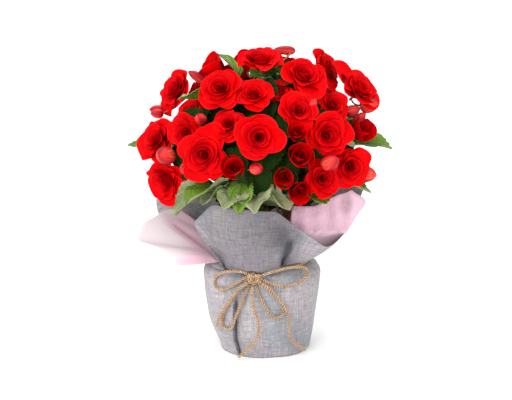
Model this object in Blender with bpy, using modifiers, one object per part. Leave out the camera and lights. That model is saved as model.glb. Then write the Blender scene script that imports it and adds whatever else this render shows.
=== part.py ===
"""Potted begonia: an elatior begonia in a grower's pot, dressed in a grey cloth wrap and pink tissue.

Metres, +Z up. The origin is the middle of the wrap's flat underside, and the front of the bow faces -Y.
A bearing is an angle about +Z from the front, positive towards +X. A rise is an angle up from level.
"""
import math
from collections import namedtuple

import bmesh
import bpy
from mathutils import Matrix, Vector

GAP = 0.0003

# Grower's pot and its soil
POT_FLOOR_Z = 0.0015
POT_TOP_Z = 0.0980
POT_BASE_RADIUS = 0.0450
POT_TOP_RADIUS = 0.0600
POT_LIP_RADIUS = 0.0630
POT_LIP_HEIGHT = 0.0120
POT_WALL = 0.0016
POT_SIDES = 20
HOLE_SIDES = 8
DRAIN_HOLES = 6
DRAIN_RADIUS = 0.0040
DRAIN_RING_RADIUS = 0.0280
CUT_PAST = 0.0010
SOIL_DROP = 0.0090
SOIL_BASE_Z = 0.0300
STEM_HOLE_RADIUS = 0.0052
STEM_HOLE_DEPTH = 0.0220

# Wrap: body profile as (radius, height) of its outer face, then the neck where it is tied
BODY_PROFILE = (
    (0.0, 0.0),
    (0.0520, 0.0),
    (0.0562, 0.0030),
    (0.0635, 0.0450),
    (0.0680, 0.0850),
    (0.0667, 0.0975),
    (0.0590, 0.1056),
    (0.0525, 0.1078),
)
NECK_RADIUS = 0.0520
NECK_TOP_Z = 0.1140
WRAP_THICKNESS = 0.0010
COLLAR_ROWS = 3
FOLD_FOOT_Z = 0.0200
PLEAT_DEPTH = 0.0009

# Edge of a flared sheet: bearing at the neck, bearing at the edge, radius and height of the edge, and how
# early the sheet goes out and up. A low out and a high up make it belly over the band before it rises.
Edge = namedtuple("Edge", "neck rim radius height out up", defaults=(1.25, 0.92))
COLLAR_EDGE = (
    Edge(-180, -180, 0.100, 0.158),
    Edge(-150, -150, 0.116, 0.168),
    Edge(-122, -120, 0.144, 0.165),
    Edge(-100, -104, 0.118, 0.143),
    Edge(-80, -80, 0.0655, 0.1120),
    Edge(-46, -38, 0.0665, 0.1122),
    Edge(-38, -60, 0.096, 0.164, 0.95, 1.05),
    Edge(-24, -40, 0.092, 0.195, 0.60, 1.40),
    Edge(-6, -14, 0.083, 0.193, 0.60, 1.40),
    Edge(12, 12, 0.083, 0.189, 0.60, 1.40),
    Edge(27, 29, 0.087, 0.168, 0.80, 1.30),
    Edge(42, 48, 0.097, 0.141, 0.80, 1.50),
    Edge(84, 90, 0.103, 0.146, 0.80, 1.50),
    Edge(96, 100, 0.108, 0.157, 1.00, 1.30),
    Edge(110, 115, 0.142, 0.206, 1.10, 1.00),
    Edge(140, 142, 0.118, 0.176),
)
TISSUE_NECK_RADIUS = 0.0495
TISSUE_FOOT_Z = 0.1080
TISSUE_LIFT = 0.0015
TISSUE_THICKNESS = 0.0008
TISSUE_ROWS = 3
TISSUE_EDGES = {
    "tissue_left": (
        Edge(-50, -66, 0.109, 0.1122),
        Edge(-57, -70, 0.110, 0.1230),
        Edge(-66, -77, 0.134, 0.1330),
        Edge(-76, -84, 0.1495, 0.1360),
        Edge(-86, -92, 0.136, 0.151),
        Edge(-96, -101, 0.119, 0.158),
        Edge(-107, -108, 0.102, 0.160),
    ),
    "tissue_right": (
        Edge(26, 28, 0.074, 0.192, 0.80, 1.20),
        Edge(38, 42, 0.086, 0.190, 0.80, 1.40),
        Edge(52, 56, 0.100, 0.200, 0.80, 1.50),
        Edge(66, 70, 0.111, 0.204, 0.80, 1.45),
        Edge(76, 79, 0.118, 0.189, 0.80, 1.30),
        Edge(84, 88, 0.122, 0.174, 0.80, 1.20),
    ),
}

# Jute twine: one band, a knot and a bow
TWINE_RADIUS = 0.0018
TWINE_POINT_STEP = 0.0118
BAND_Z = 0.1106
BAND_RADIUS = 0.0560
BAND_BULGE = 0.0076
BAND_BULGE_WIDTH = 16
BAND_POINTS = 28
KNOT_BEARING = -7
KNOT_RADIUS = 0.0705
KNOT_Z = 0.1062
KNOT_SIZE = (0.0075, 0.0050, 0.0062)
KNOT_SIDES = 8
KNOT_ROWS = 5
LOOP_STANDOFF = 0.0030
TAIL_STANDOFF = 0.0072

# Routes of the bow as (x, z) seen from the front, between angles round the knot where they leave it
Route = namedtuple("Route", "leaves returns standoff points")
TWINE_ROUTES = {
    "twine_loop_upper_right": Route(
        24, -16, LOOP_STANDOFF,
        ((0.012, 0.1130), (0.030, 0.1160), (0.046, 0.1140), (0.053, 0.1070), (0.048, 0.0980),
         (0.030, 0.0940), (0.012, 0.0985)),
    ),
    "twine_loop_upper_left": Route(
        148, 176, LOOP_STANDOFF,
        ((-0.026, 0.1125), (-0.044, 0.1090), (-0.055, 0.0980), (-0.053, 0.0870), (-0.042, 0.0890),
         (-0.028, 0.0995)),
    ),
    "twine_loop_lower_left": Route(
        -154, -124, LOOP_STANDOFF,
        ((-0.025, 0.0920), (-0.036, 0.0760), (-0.045, 0.0560), (-0.046, 0.0400), (-0.036, 0.0400),
         (-0.030, 0.0580), (-0.021, 0.0820)),
    ),
    "twine_loop_lower_right": Route(
        -88, -59, LOOP_STANDOFF,
        ((-0.004, 0.0880), (0.003, 0.0720), (0.013, 0.0570), (0.024, 0.0590), (0.023, 0.0740),
         (0.009, 0.0900)),
    ),
    "twine_tail_centre": Route(
        -104, None, TAIL_STANDOFF,
        ((-0.012, 0.0860), (-0.009, 0.0680), (-0.004, 0.0500), (-0.006, 0.0320), (-0.016, 0.0180),
         (-0.027, 0.0050)),
    ),
    "twine_tail_right": Route(
        -34, None, TAIL_STANDOFF,
        ((0.010, 0.0930), (0.022, 0.0770), (0.030, 0.0600), (0.031, 0.0450), (0.033, 0.0300),
         (0.041, 0.0180), (0.050, 0.0080)),
    ),
    "twine_tail_left": Route(
        -141, None, TAIL_STANDOFF,
        ((-0.028, 0.0920), (-0.037, 0.0780), (-0.044, 0.0640), (-0.050, 0.0520), (-0.053, 0.0400)),
    ),
}

# Dome of flowers: an ellipsoid that the bloom centres lie on
DOME_CENTRE_Z = 0.240
DOME_RADII = (0.116, 0.100, 0.104)
BLOOM_FOCUS_Z = 0.200
BLOOM_TILT = 12

# Bearing, rise, reach against the dome, diameter, and whether the rose is fully open
Bloom = namedtuple("Bloom", "bearing rise reach diameter open")
BLOOMS = (
    Bloom(-102, 36, 1.08, 0.044, True),
    Bloom(-120, 58, 1.04, 0.028, False),
    Bloom(176, 96, 1.06, 0.046, True),
    Bloom(-42, 53, 1.02, 0.045, True),
    Bloom(-8, 55, 0.94, 0.038, True),
    Bloom(-91, 6, 1.04, 0.048, True),
    Bloom(-61, 20, 0.92, 0.038, True),
    Bloom(-80, 33, 0.86, 0.031, True),
    Bloom(-79, -18, 1.03, 0.046, True),
    Bloom(-35, 10, 1.03, 0.048, True),
    Bloom(-25, 31, 0.92, 0.036, True),
    Bloom(-2, 24, 1.05, 0.048, True),
    Bloom(-16, 4, 1.02, 0.027, False),
    Bloom(62, 62, 1.02, 0.048, True),
    Bloom(112, 52, 1.10, 0.042, True),
    Bloom(99, 33, 1.18, 0.046, True),
    Bloom(70, 37, 0.94, 0.034, True),
    Bloom(28, 40, 1.00, 0.040, True),
    Bloom(23, 62, 0.87, 0.029, True),
    Bloom(43, 21, 1.03, 0.046, True),
    Bloom(22, 10, 1.03, 0.030, False),
    Bloom(12, -2, 1.04, 0.024, False),
    Bloom(57, -2, 1.02, 0.042, True),
    Bloom(37, -7, 1.00, 0.036, True),
    Bloom(22, -12, 1.01, 0.026, False),
    Bloom(21, 25, 1.06, 0.022, False),
    Bloom(91, 13, 1.00, 0.028, False),
    Bloom(124, 3, 1.02, 0.045, True),
    Bloom(148, -8, 1.03, 0.043, True),
    Bloom(174, -5, 1.02, 0.045, True),
    Bloom(-160, -9, 1.02, 0.044, True),
    Bloom(-134, -2, 1.03, 0.045, True),
    Bloom(132, 28, 1.03, 0.044, True),
    Bloom(162, 24, 1.02, 0.046, True),
    Bloom(-166, 26, 1.03, 0.044, True),
    Bloom(-134, 28, 1.02, 0.044, True),
    Bloom(148, 54, 1.02, 0.044, True),
    Bloom(-162, 54, 1.02, 0.044, True),
)

# Rings of a flower from the stalk inwards, as shares of its diameter. A lobed ring is a layer of petal
# tips, a plain one is a fold between two layers, and lean swings the tips round like a pinwheel.
Ring = namedtuple("Ring", "radius height lobed lean")
OPEN_ROSE = (
    Ring(0.0, -0.190, False, 0),
    Ring(0.300, -0.125, False, 0),
    Ring(0.530, 0.000, True, 0),
    Ring(0.190, -0.050, False, 10),
    Ring(0.385, 0.120, True, 36),
    Ring(0.110, 0.030, False, 40),
    Ring(0.205, 0.185, True, 66),
    Ring(0.0, 0.090, False, 70),
)
HALF_OPEN_ROSE = (
    Ring(0.0, -0.420, False, 0),
    Ring(0.330, -0.160, False, 0),
    Ring(0.430, 0.250, True, 20),
    Ring(0.200, 0.120, False, 40),
    Ring(0.160, 0.400, True, 70),
    Ring(0.0, 0.420, False, 70),
)
ROSE_LOBES = 5
SMALL_ROSE_LOBES = 4
HALF_OPEN_LOBES = 3
SMALL_BLOOM = 0.041
NOTCH_REACH = 0.80
NOTCH_DROP = 0.045
LOBE_SKEW = 0.035
PEDICEL_RADIUS = 0.0014
PEDICEL_LENGTH = 0.0110

BLOOM_TURN = 137.5
FACE_TURN = 40
FACE_RISE = 0.75
TILT_STEP = 2.4
PEDICEL_SINK = 0.10
BUD_STALK_RADIUS = 0.0011
BUD_FOOT = 0.42
BUD_BEND = 0.0040
BUD_BEND_SHARE = 0.60
BUD_SIDES = 6
BUD_ROWS = 4
SPRAY_SHARE = 0.25

# Buds share the spray of the bloom with this number: bearing, rise, reach, length and width
Bud = namedtuple("Bud", "bloom bearing rise reach length width")
BUDS = (
    Bud(0, -100, 21, 1.15, 0.014, 0.009),
    Bud(0, -93, 21, 1.13, 0.012, 0.008),
    Bud(1, -109, 49, 1.05, 0.020, 0.008),
    Bud(2, 145, 70, 1.14, 0.022, 0.007),
    Bud(7, -47, 32, 0.98, 0.015, 0.010),
    Bud(5, -66, 3, 1.06, 0.020, 0.018),
    Bud(8, -50, -2, 1.00, 0.016, 0.010),
    Bud(12, -3, 4, 1.02, 0.016, 0.011),
    Bud(23, 39, 5, 1.08, 0.020, 0.015),
    Bud(17, 40, 42, 1.02, 0.015, 0.010),
    Bud(15, 97, 24, 1.19, 0.019, 0.015),
    Bud(16, 88, 27, 1.02, 0.015, 0.010),
    Bud(26, 92, 20, 1.04, 0.017, 0.008),
    Bud(22, 82, -13, 1.09, 0.020, 0.016),
    Bud(29, 158, 9, 1.06, 0.015, 0.010),
    Bud(31, -146, 12, 1.05, 0.015, 0.010),
)

# Leafy stems stand in a ring, one to each sector
STEMS = 6
STEM_FOOT_RADIUS = 0.022
STEM_TOP_RADIUS = 0.032
STEM_TOP_Z = 0.172
STEM_BEND_Z = 0.128
STEM_BEND_SHARE = 0.4
STEM_RADII = (0.0040, 0.0040, 0.0036, 0.0030)
STALK_RADII = (0.0022, 0.0017, 0.0014)
PETIOLE_RADII = (0.0022, 0.0017, 0.0012)
BACK_SHARE = 0.37
LOW_JOINT_SHARE = 0.4
HIGH_JOINT_SHARE = 0.2
FIRST_STALK_SHARE = 0.10
STALK_SHARE_STEP = 0.16
STALKS_IN_RUN = 6
HIGH_LEAF_Z = 0.240
LIFTED_LEAF_Z = 0.220
PETIOLE_LIFT = 0.0080
LOW_PETIOLE_LIFT = 0.0026
PETIOLE_END = -0.72
PETIOLE_SINK = 0.0004
PETIOLE_MIDDLE = 0.55

# Leaves by the stem that bears them: where the blade starts, which way its tip points, how it hangs
Leaf = namedtuple("Leaf", "stem bearing radius height heading pitch roll length width")
LEAVES = (
    Leaf(0, -17, 0.070, 0.223, -20, -48, 0, 0.037, 0.034),
    Leaf(0, -14, 0.066, 0.206, 84, -8, -62, 0.050, 0.044),
    Leaf(0, -48, 0.062, 0.206, 76, -6, -60, 0.050, 0.044),
    Leaf(5, -42, 0.066, 0.209, -46, 7, 14, 0.058, 0.052),
    Leaf(5, -58, 0.068, 0.204, -78, -22, 54, 0.052, 0.046),
    Leaf(5, -76, 0.062, 0.302, -62, 24, 26, 0.042, 0.034),
    Leaf(5, -50, 0.052, 0.262, -52, 30, 0, 0.044, 0.040),
    Leaf(5, -66, 0.050, 0.226, -66, 22, 0, 0.044, 0.044),
    Leaf(4, -112, 0.094, 0.232, -98, 11, -14, 0.066, 0.036),
    Leaf(4, -128, 0.034, 0.322, -122, 52, 10, 0.036, 0.026),
    Leaf(4, -110, 0.074, 0.187, -112, 0, 6, 0.056, 0.052),
    Leaf(4, -138, 0.074, 0.196, -138, -6, -6, 0.056, 0.046),
    Leaf(0, 4, 0.014, 0.316, 6, 56, 0, 0.030, 0.022),
    Leaf(0, 12, 0.052, 0.258, 10, 30, 0, 0.044, 0.040),
    Leaf(1, 42, 0.064, 0.204, 40, 6, 10, 0.046, 0.044),
    Leaf(1, 58, 0.046, 0.236, 56, 24, 0, 0.042, 0.042),
    Leaf(1, 73, 0.070, 0.256, 70, 10, 10, 0.040, 0.030),
    Leaf(1, 76, 0.078, 0.206, 80, 2, -12, 0.050, 0.038),
    Leaf(2, 100, 0.088, 0.238, 90, 12, 12, 0.066, 0.042),
    Leaf(2, 100, 0.088, 0.262, 97, 22, -10, 0.036, 0.028),
    Leaf(2, 110, 0.072, 0.206, 112, 0, 8, 0.056, 0.046),
    Leaf(2, 138, 0.070, 0.198, 138, -4, -8, 0.054, 0.052),
    Leaf(3, 164, 0.072, 0.192, 164, -4, 8, 0.056, 0.054),
    Leaf(3, -168, 0.072, 0.198, -168, -6, -8, 0.054, 0.048),
    Leaf(3, 180, 0.056, 0.262, 180, 28, 0, 0.044, 0.040),
)
LEAF_POINTS = 16
LEAF_THICKNESS = 0.0008
LEAF_TOOTH = 0.075
LEAF_LOPSIDED = 0.08
LEAF_FOOT_WIDTH = 1.06
LEAF_TAPER = 0.34
LEAF_SAG = 0.22
LEAF_TROUGH = 0.55

WELD = 0.000002
FINE_WELD = 0.0000002

RED = (0.80, 0.010, 0.012, 1.0)
LEAF_GREEN = (0.060, 0.190, 0.020, 1.0)
TERRACOTTA = (0.330, 0.115, 0.055, 1.0)
SOIL_BROWN = (0.045, 0.028, 0.018, 1.0)
LINEN_GREY = (0.430, 0.420, 0.430, 1.0)
TISSUE_PINK = (0.850, 0.560, 0.680, 1.0)
TWINE_TAN = (0.520, 0.310, 0.160, 1.0)


def material(name, colour, roughness, metallic=0.0):
    """A Principled material, made once for each name."""
    made = bpy.data.materials.get(name)
    if made is None:
        made = bpy.data.materials.new(name)
        made.use_nodes = True
        shader = made.node_tree.nodes["Principled BSDF"]
        shader.inputs["Base Color"].default_value = colour
        shader.inputs["Roughness"].default_value = roughness
        shader.inputs["Metallic"].default_value = metallic
    return made


def collection(name):
    """The collection of this name, made once and linked to the scene."""
    made = bpy.data.collections.get(name)
    if made is None:
        made = bpy.data.collections.new(name)
        bpy.context.scene.collection.children.link(made)
    return made


def object_from_bmesh(name, bm, group):
    """Turn a bmesh into an object in the named collection, and free the bmesh."""
    mesh = bpy.data.meshes.new(name)
    bm.to_mesh(mesh)
    bm.free()
    made = bpy.data.objects.new(name, mesh)
    collection(group).objects.link(made)
    return made


def around(bearing, radius, height):
    """The point at a bearing, a distance from the axis and a height."""
    angle = math.radians(bearing)
    return Vector((radius * math.sin(angle), -radius * math.cos(angle), height))


def smooth_route(points, step):
    """Points about one step apart on a smooth curve through the points given."""
    ends = [points[0] * 2 - points[1], *points, points[-1] * 2 - points[-2]]
    route = []
    for before, start, end, after in zip(ends, ends[1:], ends[2:], ends[3:]):
        pieces = max(1, round((end - start).length / step))
        for k in range(pieces):
            t = k / pieces
            route.append(
                0.5 * (2 * start + (end - before) * t
                       + (2 * before - 5 * start + 4 * end - after) * t * t
                       + (3 * start - before - 3 * end + after) * t ** 3)
            )
    route.append(points[-1])
    return route


def bake(made, name, group, weld=WELD):
    """Replace an object by a mesh object of what its modifiers or its curve make."""
    bpy.context.view_layer.update()
    evaluated = made.evaluated_get(bpy.context.evaluated_depsgraph_get())
    mesh = bpy.data.meshes.new_from_object(evaluated)
    bm = bmesh.new()
    bm.from_mesh(mesh)
    bm.transform(made.matrix_world)
    bmesh.ops.remove_doubles(bm, verts=bm.verts, dist=weld)
    bpy.data.objects.remove(made)
    bpy.data.meshes.remove(mesh)
    return object_from_bmesh(name, bm, group)


def tube(name, points, radii, sides_setting, group, closed=False):
    """A round bar along the points, as a mesh with its ends closed."""
    curve = bpy.data.curves.new(name, "CURVE")
    curve.dimensions = "3D"
    curve.bevel_depth = 1.0
    curve.bevel_resolution = sides_setting
    curve.use_fill_caps = not closed
    spline = curve.splines.new("POLY")
    spline.points.add(len(points) - 1)
    for slot, point, radius in zip(spline.points, points, radii):
        slot.co = (*point, 1.0)
        slot.radius = radius
    spline.use_cyclic_u = closed
    made = bpy.data.objects.new(name, curve)
    collection(group).objects.link(made)
    return bake(made, name, group)


def keep_one_body(bm):
    """Drop loose scraps and sealed hollows, so that one body is left."""
    unseen = set(bm.verts)
    bodies = []
    while unseen:
        body = {unseen.pop()}
        edge = list(body)
        while edge:
            near = {link.other_vert(v) for v in edge for link in v.link_edges} - body
            body |= near
            edge = list(near)
        unseen -= body
        bodies.append(body)
    bodies.sort(key=len)
    for scrap in bodies[:-1]:
        bmesh.ops.delete(bm, geom=list(scrap), context="VERTS")


def drop_flat_folds(bm):
    """Split the faces into triangles, and take out pairs that lie back to back on the same corners."""
    bmesh.ops.triangulate(bm, faces=bm.faces[:])
    alike = {}
    for face in bm.faces:
        alike.setdefault(frozenset(face.verts), []).append(face)
    folds = [face for faces in alike.values() if len(faces) > 1 for face in faces]
    bmesh.ops.delete(bm, geom=folds, context="FACES")


def fuse(name, pieces, finish, group):
    """Join overlapping solids into one body with a single union, and remove them."""
    body = pieces[0]
    others = bpy.data.collections.new(name + "_joined")
    bpy.context.scene.collection.children.link(others)
    for piece in pieces[1:]:
        for held in list(piece.users_collection):
            held.objects.unlink(piece)
        others.objects.link(piece)
    union = body.modifiers.new("Join", "BOOLEAN")
    union.operation = "UNION"
    union.operand_type = "COLLECTION"
    union.collection = others
    union.solver = "MANIFOLD"
    joined = bake(body, name, group, weld=FINE_WELD)
    for piece in list(others.objects):
        bpy.data.objects.remove(piece)
    bpy.data.collections.remove(others)
    bm = bmesh.new()
    bm.from_mesh(joined.data)
    drop_flat_folds(bm)
    keep_one_body(bm)
    bm.to_mesh(joined.data)
    bm.free()
    joined.name = name
    joined.data.materials.clear()
    joined.data.materials.append(finish)
    return joined


def closed_blade(name, sides, place, thickness, group):
    """A thin solid blade: a fan of triangles whose rim and middle are put in place by a function."""
    bm = bmesh.new()
    bmesh.ops.create_circle(
        bm, cap_ends=True, cap_tris=True, segments=sides, radius=1.0,
        matrix=Matrix.Rotation(math.pi / 2, 4, "Z"),
    )
    for k, vertex in enumerate(bm.verts):
        vertex.co = place(vertex.co.x, vertex.co.y, k)
    bmesh.ops.recalc_face_normals(bm, faces=bm.faces)
    bmesh.ops.solidify(bm, geom=bm.faces[:], thickness=thickness)
    bmesh.ops.recalc_face_normals(bm, faces=bm.faces)
    return object_from_bmesh(name, bm, group)


# ---------------------------------------------------------------- pot and soil


def turned(name, profile, finish, group):
    """A closed turned solid from a half profile that runs up its inside and down its outside."""
    bm = bmesh.new()
    points = [bm.verts.new((radius, 0.0, height)) for radius, height in profile]
    for start, end in zip(points, points[1:]):
        bm.edges.new((start, end))
    made = object_from_bmesh(name, bm, group)
    screw = made.modifiers.new("Turn", "SCREW")
    screw.steps = POT_SIDES
    screw.render_steps = POT_SIDES
    screw.use_merge_vertices = True
    screw.merge_threshold = 0.0001
    made.data.materials.append(finish)
    return made


def bore(made, name, places, radius, low, high):
    """Cut round holes straight down through or into an object."""
    cutters = bpy.data.collections.new(name)
    collection("Cutters").children.link(cutters)
    for k, place in enumerate(places):
        bm = bmesh.new()
        bmesh.ops.create_cone(
            bm, cap_ends=True, segments=HOLE_SIDES, radius1=radius, radius2=radius, depth=high - low,
            matrix=Matrix.Translation((place.x, place.y, (high + low) / 2)),
        )
        cutter = object_from_bmesh(f"{name}_{k + 1}", bm, "Cutters")
        collection("Cutters").objects.unlink(cutter)
        cutters.objects.link(cutter)
        cutter.hide_render = True
        cutter.display_type = "WIRE"
    cut = made.modifiers.new("Holes", "BOOLEAN")
    cut.operation = "DIFFERENCE"
    cut.operand_type = "COLLECTION"
    cut.collection = cutters


def pot_inner_radius(height):
    """Radius of the pot's inner wall at a height."""
    share = (height - POT_FLOOR_Z) / (POT_TOP_Z - POT_FLOOR_Z)
    return POT_BASE_RADIUS + (POT_TOP_RADIUS - POT_BASE_RADIUS) * share - POT_WALL


def build_pot(group):
    """A tapered grower's pot with a rolled lip and drain holes."""
    lip_foot = POT_TOP_Z - POT_LIP_HEIGHT
    profile = (
        (0.0, POT_FLOOR_Z + POT_WALL),
        (pot_inner_radius(POT_FLOOR_Z + POT_WALL), POT_FLOOR_Z + POT_WALL),
        (pot_inner_radius(POT_TOP_Z), POT_TOP_Z),
        (POT_LIP_RADIUS, POT_TOP_Z),
        (POT_LIP_RADIUS, lip_foot),
        (pot_inner_radius(lip_foot) + POT_WALL, lip_foot),
        (POT_BASE_RADIUS, POT_FLOOR_Z),
        (0.0, POT_FLOOR_Z),
    )
    pot = turned("pot", profile, material("Terracotta plastic", TERRACOTTA, 0.6), group)
    places = [around(360 * k / DRAIN_HOLES, DRAIN_RING_RADIUS, 0) for k in range(DRAIN_HOLES)]
    bore(pot, "drain", places, DRAIN_RADIUS, POT_FLOOR_Z - CUT_PAST, POT_FLOOR_Z + POT_WALL + CUT_PAST)


def stem_foot(stem, height):
    """Where a leafy stem stands, at a height."""
    return around(360 * stem / STEMS, STEM_FOOT_RADIUS, height)


def build_soil(group):
    """Potting soil in the pot, with a plain hole for each stem."""
    top = POT_TOP_Z - SOIL_DROP
    profile = (
        (0.0, top),
        (pot_inner_radius(top) - GAP, top),
        (pot_inner_radius(SOIL_BASE_Z) - GAP, SOIL_BASE_Z),
        (0.0, SOIL_BASE_Z),
    )
    soil = turned("soil", profile, material("Potting soil", SOIL_BROWN, 0.95), group)
    places = [stem_foot(k, 0) for k in range(STEMS)]
    bore(soil, "stem_hole", places, STEM_HOLE_RADIUS, top - STEM_HOLE_DEPTH, top + CUT_PAST)


# ---------------------------------------------------------------- wrap and tissue


def flare(edge, neck_radius, neck_z, share):
    """The point of a flared sheet, from the tied neck (share 0) to its edge (share 1)."""
    bearing = edge.neck + (edge.rim - edge.neck) * share
    radius = neck_radius + (edge.radius - neck_radius) * share ** edge.out
    height = neck_z + (edge.height - neck_z) * share ** edge.up
    return around(bearing, radius, height)


def between(first, second):
    """The edge values halfway between two."""
    return Edge(*((a + b) / 2 for a, b in zip(first, second)))


def lofted(name, columns, closed, group):
    """An open surface of one column of points after another, with its faces split into triangles."""
    across = len(columns)
    along = len(columns[0])
    bm = bmesh.new()
    grid = [[bm.verts.new(point) for point in column] for column in columns]
    for i in range(across if closed else across - 1):
        for j in range(along - 1):
            after = grid[(i + 1) % across]
            bm.faces.new((grid[i][j], after[j], after[j + 1], grid[i][j + 1]))
    bmesh.ops.triangulate(bm, faces=bm.faces)
    bmesh.ops.remove_doubles(bm, verts=bm.verts, dist=WELD)
    return object_from_bmesh(name, bm, group)


def thicken(made, thickness, offset):
    """Give an open surface its thickness."""
    solid = made.modifiers.new("Cloth", "SOLIDIFY")
    solid.thickness = thickness
    solid.offset = offset
    solid.use_even_offset = False


def wrap_column(edge, k):
    """The wrap's outer face from its base up to the collar's edge, at one place round it."""
    column = []
    for radius, height in BODY_PROFILE:
        share = max(0.0, (height - FOLD_FOOT_Z) / (NECK_TOP_Z - FOLD_FOOT_Z))
        fold = PLEAT_DEPTH * share * (-1) ** k
        column.append(around(edge.neck, radius + fold, height))
    column.append(around(edge.neck, NECK_RADIUS, (BODY_PROFILE[-1][1] + NECK_TOP_Z) / 2))
    column += [flare(edge, NECK_RADIUS, NECK_TOP_Z, row / COLLAR_ROWS) for row in range(COLLAR_ROWS + 1)]
    return column


def build_wrap(group):
    """The grey cloth: a cup round the pot, a tied neck and a flared collar."""
    columns = []
    for k, edge in enumerate(COLLAR_EDGE):
        after = COLLAR_EDGE[(k + 1) % len(COLLAR_EDGE)]
        if after.neck < edge.neck:
            after = after._replace(neck=after.neck + 360, rim=after.rim + 360)
        columns.append(wrap_column(edge, 2 * k))
        columns.append(wrap_column(between(edge, after), 2 * k + 1))
    wrap = lofted("wrap_grey", columns, True, group)
    thicken(wrap, WRAP_THICKNESS, -1.0)
    wrap.data.materials.append(material("Grey linen-look cloth", LINEN_GREY, 0.9))


def build_tissue(group):
    """Two flaps of pink tissue between the collar and the leaves."""
    for name, edges in TISSUE_EDGES.items():
        columns = []
        for edge, after in zip(edges, edges[1:] + (None,)):
            for column_edge in (edge, between(edge, after)) if after else (edge,):
                column = [around(column_edge.neck, TISSUE_NECK_RADIUS, TISSUE_FOOT_Z)]
                column += [
                    flare(column_edge, TISSUE_NECK_RADIUS, NECK_TOP_Z + TISSUE_LIFT, row / TISSUE_ROWS)
                    for row in range(TISSUE_ROWS + 1)
                ]
                columns.append(column)
        flap = lofted(name, columns, False, group)
        thicken(flap, TISSUE_THICKNESS, 0.0)
        flap.data.materials.append(material("Pink tissue", TISSUE_PINK, 0.8))


# ---------------------------------------------------------------- twine


def body_radius(height):
    """Outer radius of the wrap's body at a height, with its shoulder taken as straight up."""
    reach = 0.0
    for (low_r, low_z), (high_r, high_z) in zip(BODY_PROFILE, BODY_PROFILE[1:]):
        if high_z > low_z and height >= low_z:
            share = min(1.0, (height - low_z) / (high_z - low_z))
            reach = max(reach, low_r + (high_r - low_r) * share)
    return reach


def on_front(x, z, standoff):
    """The point in front of the wrap's body at this x and z, held off it by the standoff."""
    radius = body_radius(z) + PLEAT_DEPTH + standoff
    return Vector((x, -math.sqrt(radius * radius - x * x), z))


def knot_point(angle, standoff):
    """A point just outside the knot, at an angle round it as seen from the front."""
    turn = math.radians(angle)
    centre = around(KNOT_BEARING, KNOT_RADIUS, KNOT_Z)
    x = centre.x + (KNOT_SIZE[0] + TWINE_RADIUS + GAP) * math.cos(turn)
    z = centre.z + (KNOT_SIZE[2] + TWINE_RADIUS + GAP) * math.sin(turn)
    forward = body_radius(z) + PLEAT_DEPTH + standoff
    return Vector((x, -math.sqrt(forward * forward - x * x), z))


def build_twine(group):
    """The band round the neck, the knot, and the bow's loops and tails."""
    finish = material("Jute twine", TWINE_TAN, 0.9)
    ring = []
    for k in range(BAND_POINTS):
        bearing = 360 * k / BAND_POINTS + KNOT_BEARING
        away = (bearing - KNOT_BEARING + 180) % 360 - 180
        bulge = BAND_BULGE * math.exp(-(away / BAND_BULGE_WIDTH) ** 2)
        ring.append(around(bearing, BAND_RADIUS + bulge, BAND_Z))
    band = tube("twine_band", ring, [TWINE_RADIUS] * BAND_POINTS, 1, group, closed=True)
    band.data.materials.append(finish)

    bm = bmesh.new()
    place = Matrix.Translation(around(KNOT_BEARING, KNOT_RADIUS, KNOT_Z))
    turn = Matrix.Rotation(math.radians(KNOT_BEARING), 4, "Z")
    bmesh.ops.create_uvsphere(
        bm, u_segments=KNOT_SIDES, v_segments=KNOT_ROWS, radius=1.0,
        matrix=place @ turn @ Matrix.Diagonal((*KNOT_SIZE, 1.0)),
    )
    knot = object_from_bmesh("twine_knot", bm, group)
    knot.data.materials.append(finish)

    for name, route in TWINE_ROUTES.items():
        points = [knot_point(route.leaves, route.standoff)]
        points += [on_front(x, z, route.standoff) for x, z in route.points]
        if route.returns is not None:
            points.append(knot_point(route.returns, route.standoff))
        line = smooth_route(points, TWINE_POINT_STEP)
        cord = tube(name, line, [TWINE_RADIUS] * len(line), 1, group)
        cord.data.materials.append(finish)


# ---------------------------------------------------------------- flowers


def dome_point(bearing, rise, reach):
    """A point of the flower dome."""
    turn = math.radians(bearing)
    up = math.radians(rise)
    return Vector((
        DOME_RADII[0] * reach * math.cos(up) * math.sin(turn),
        -DOME_RADII[1] * reach * math.cos(up) * math.cos(turn),
        DOME_CENTRE_Z + DOME_RADII[2] * reach * math.sin(up),
    ))


def bloom_frame(number):
    """The place and attitude of a bloom: its middle at the centre, facing out along local +Z."""
    bloom = BLOOMS[number]
    centre = dome_point(bloom.bearing, bloom.rise, bloom.reach)
    outward = (centre - Vector((0.0, 0.0, BLOOM_FOCUS_Z))).normalized()
    bearing = math.atan2(outward.x, -outward.y)
    bearing -= math.radians(FACE_TURN) * math.sin(bearing)
    rise = math.asin(outward.z) * FACE_RISE
    facing = Vector((math.cos(rise) * math.sin(bearing), -math.cos(rise) * math.cos(bearing), math.sin(rise)))
    spin = math.radians(BLOOM_TURN * number)
    tilt = Matrix.Rotation(math.radians(BLOOM_TILT * math.sin(TILT_STEP * number)), 4, "X")
    face = facing.to_track_quat("Z", "Y").to_matrix().to_4x4()
    return Matrix.Translation(centre) @ face @ tilt @ Matrix.Rotation(spin, 4, "Z")


def rosette(frame, size, rings, lobes, group):
    """A double flower as one body: layer inside layer of petals, cut apart by notches at their rims."""
    columns = []
    for k in range(3 * lobes):
        part = k % 3
        column = []
        for ring in rings:
            turn = math.tau * k / (3 * lobes) + math.radians(ring.lean)
            radius = ring.radius * size
            height = ring.height * size
            if ring.lobed and part == 0:
                radius *= NOTCH_REACH
                height -= NOTCH_DROP * size
            elif ring.lobed:
                height += LOBE_SKEW * size * (1 if part == 1 else -1)
            column.append(frame @ Vector((radius * math.cos(turn), radius * math.sin(turn), height)))
        columns.append(column)
    return lofted("rosette", columns, True, group)


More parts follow.
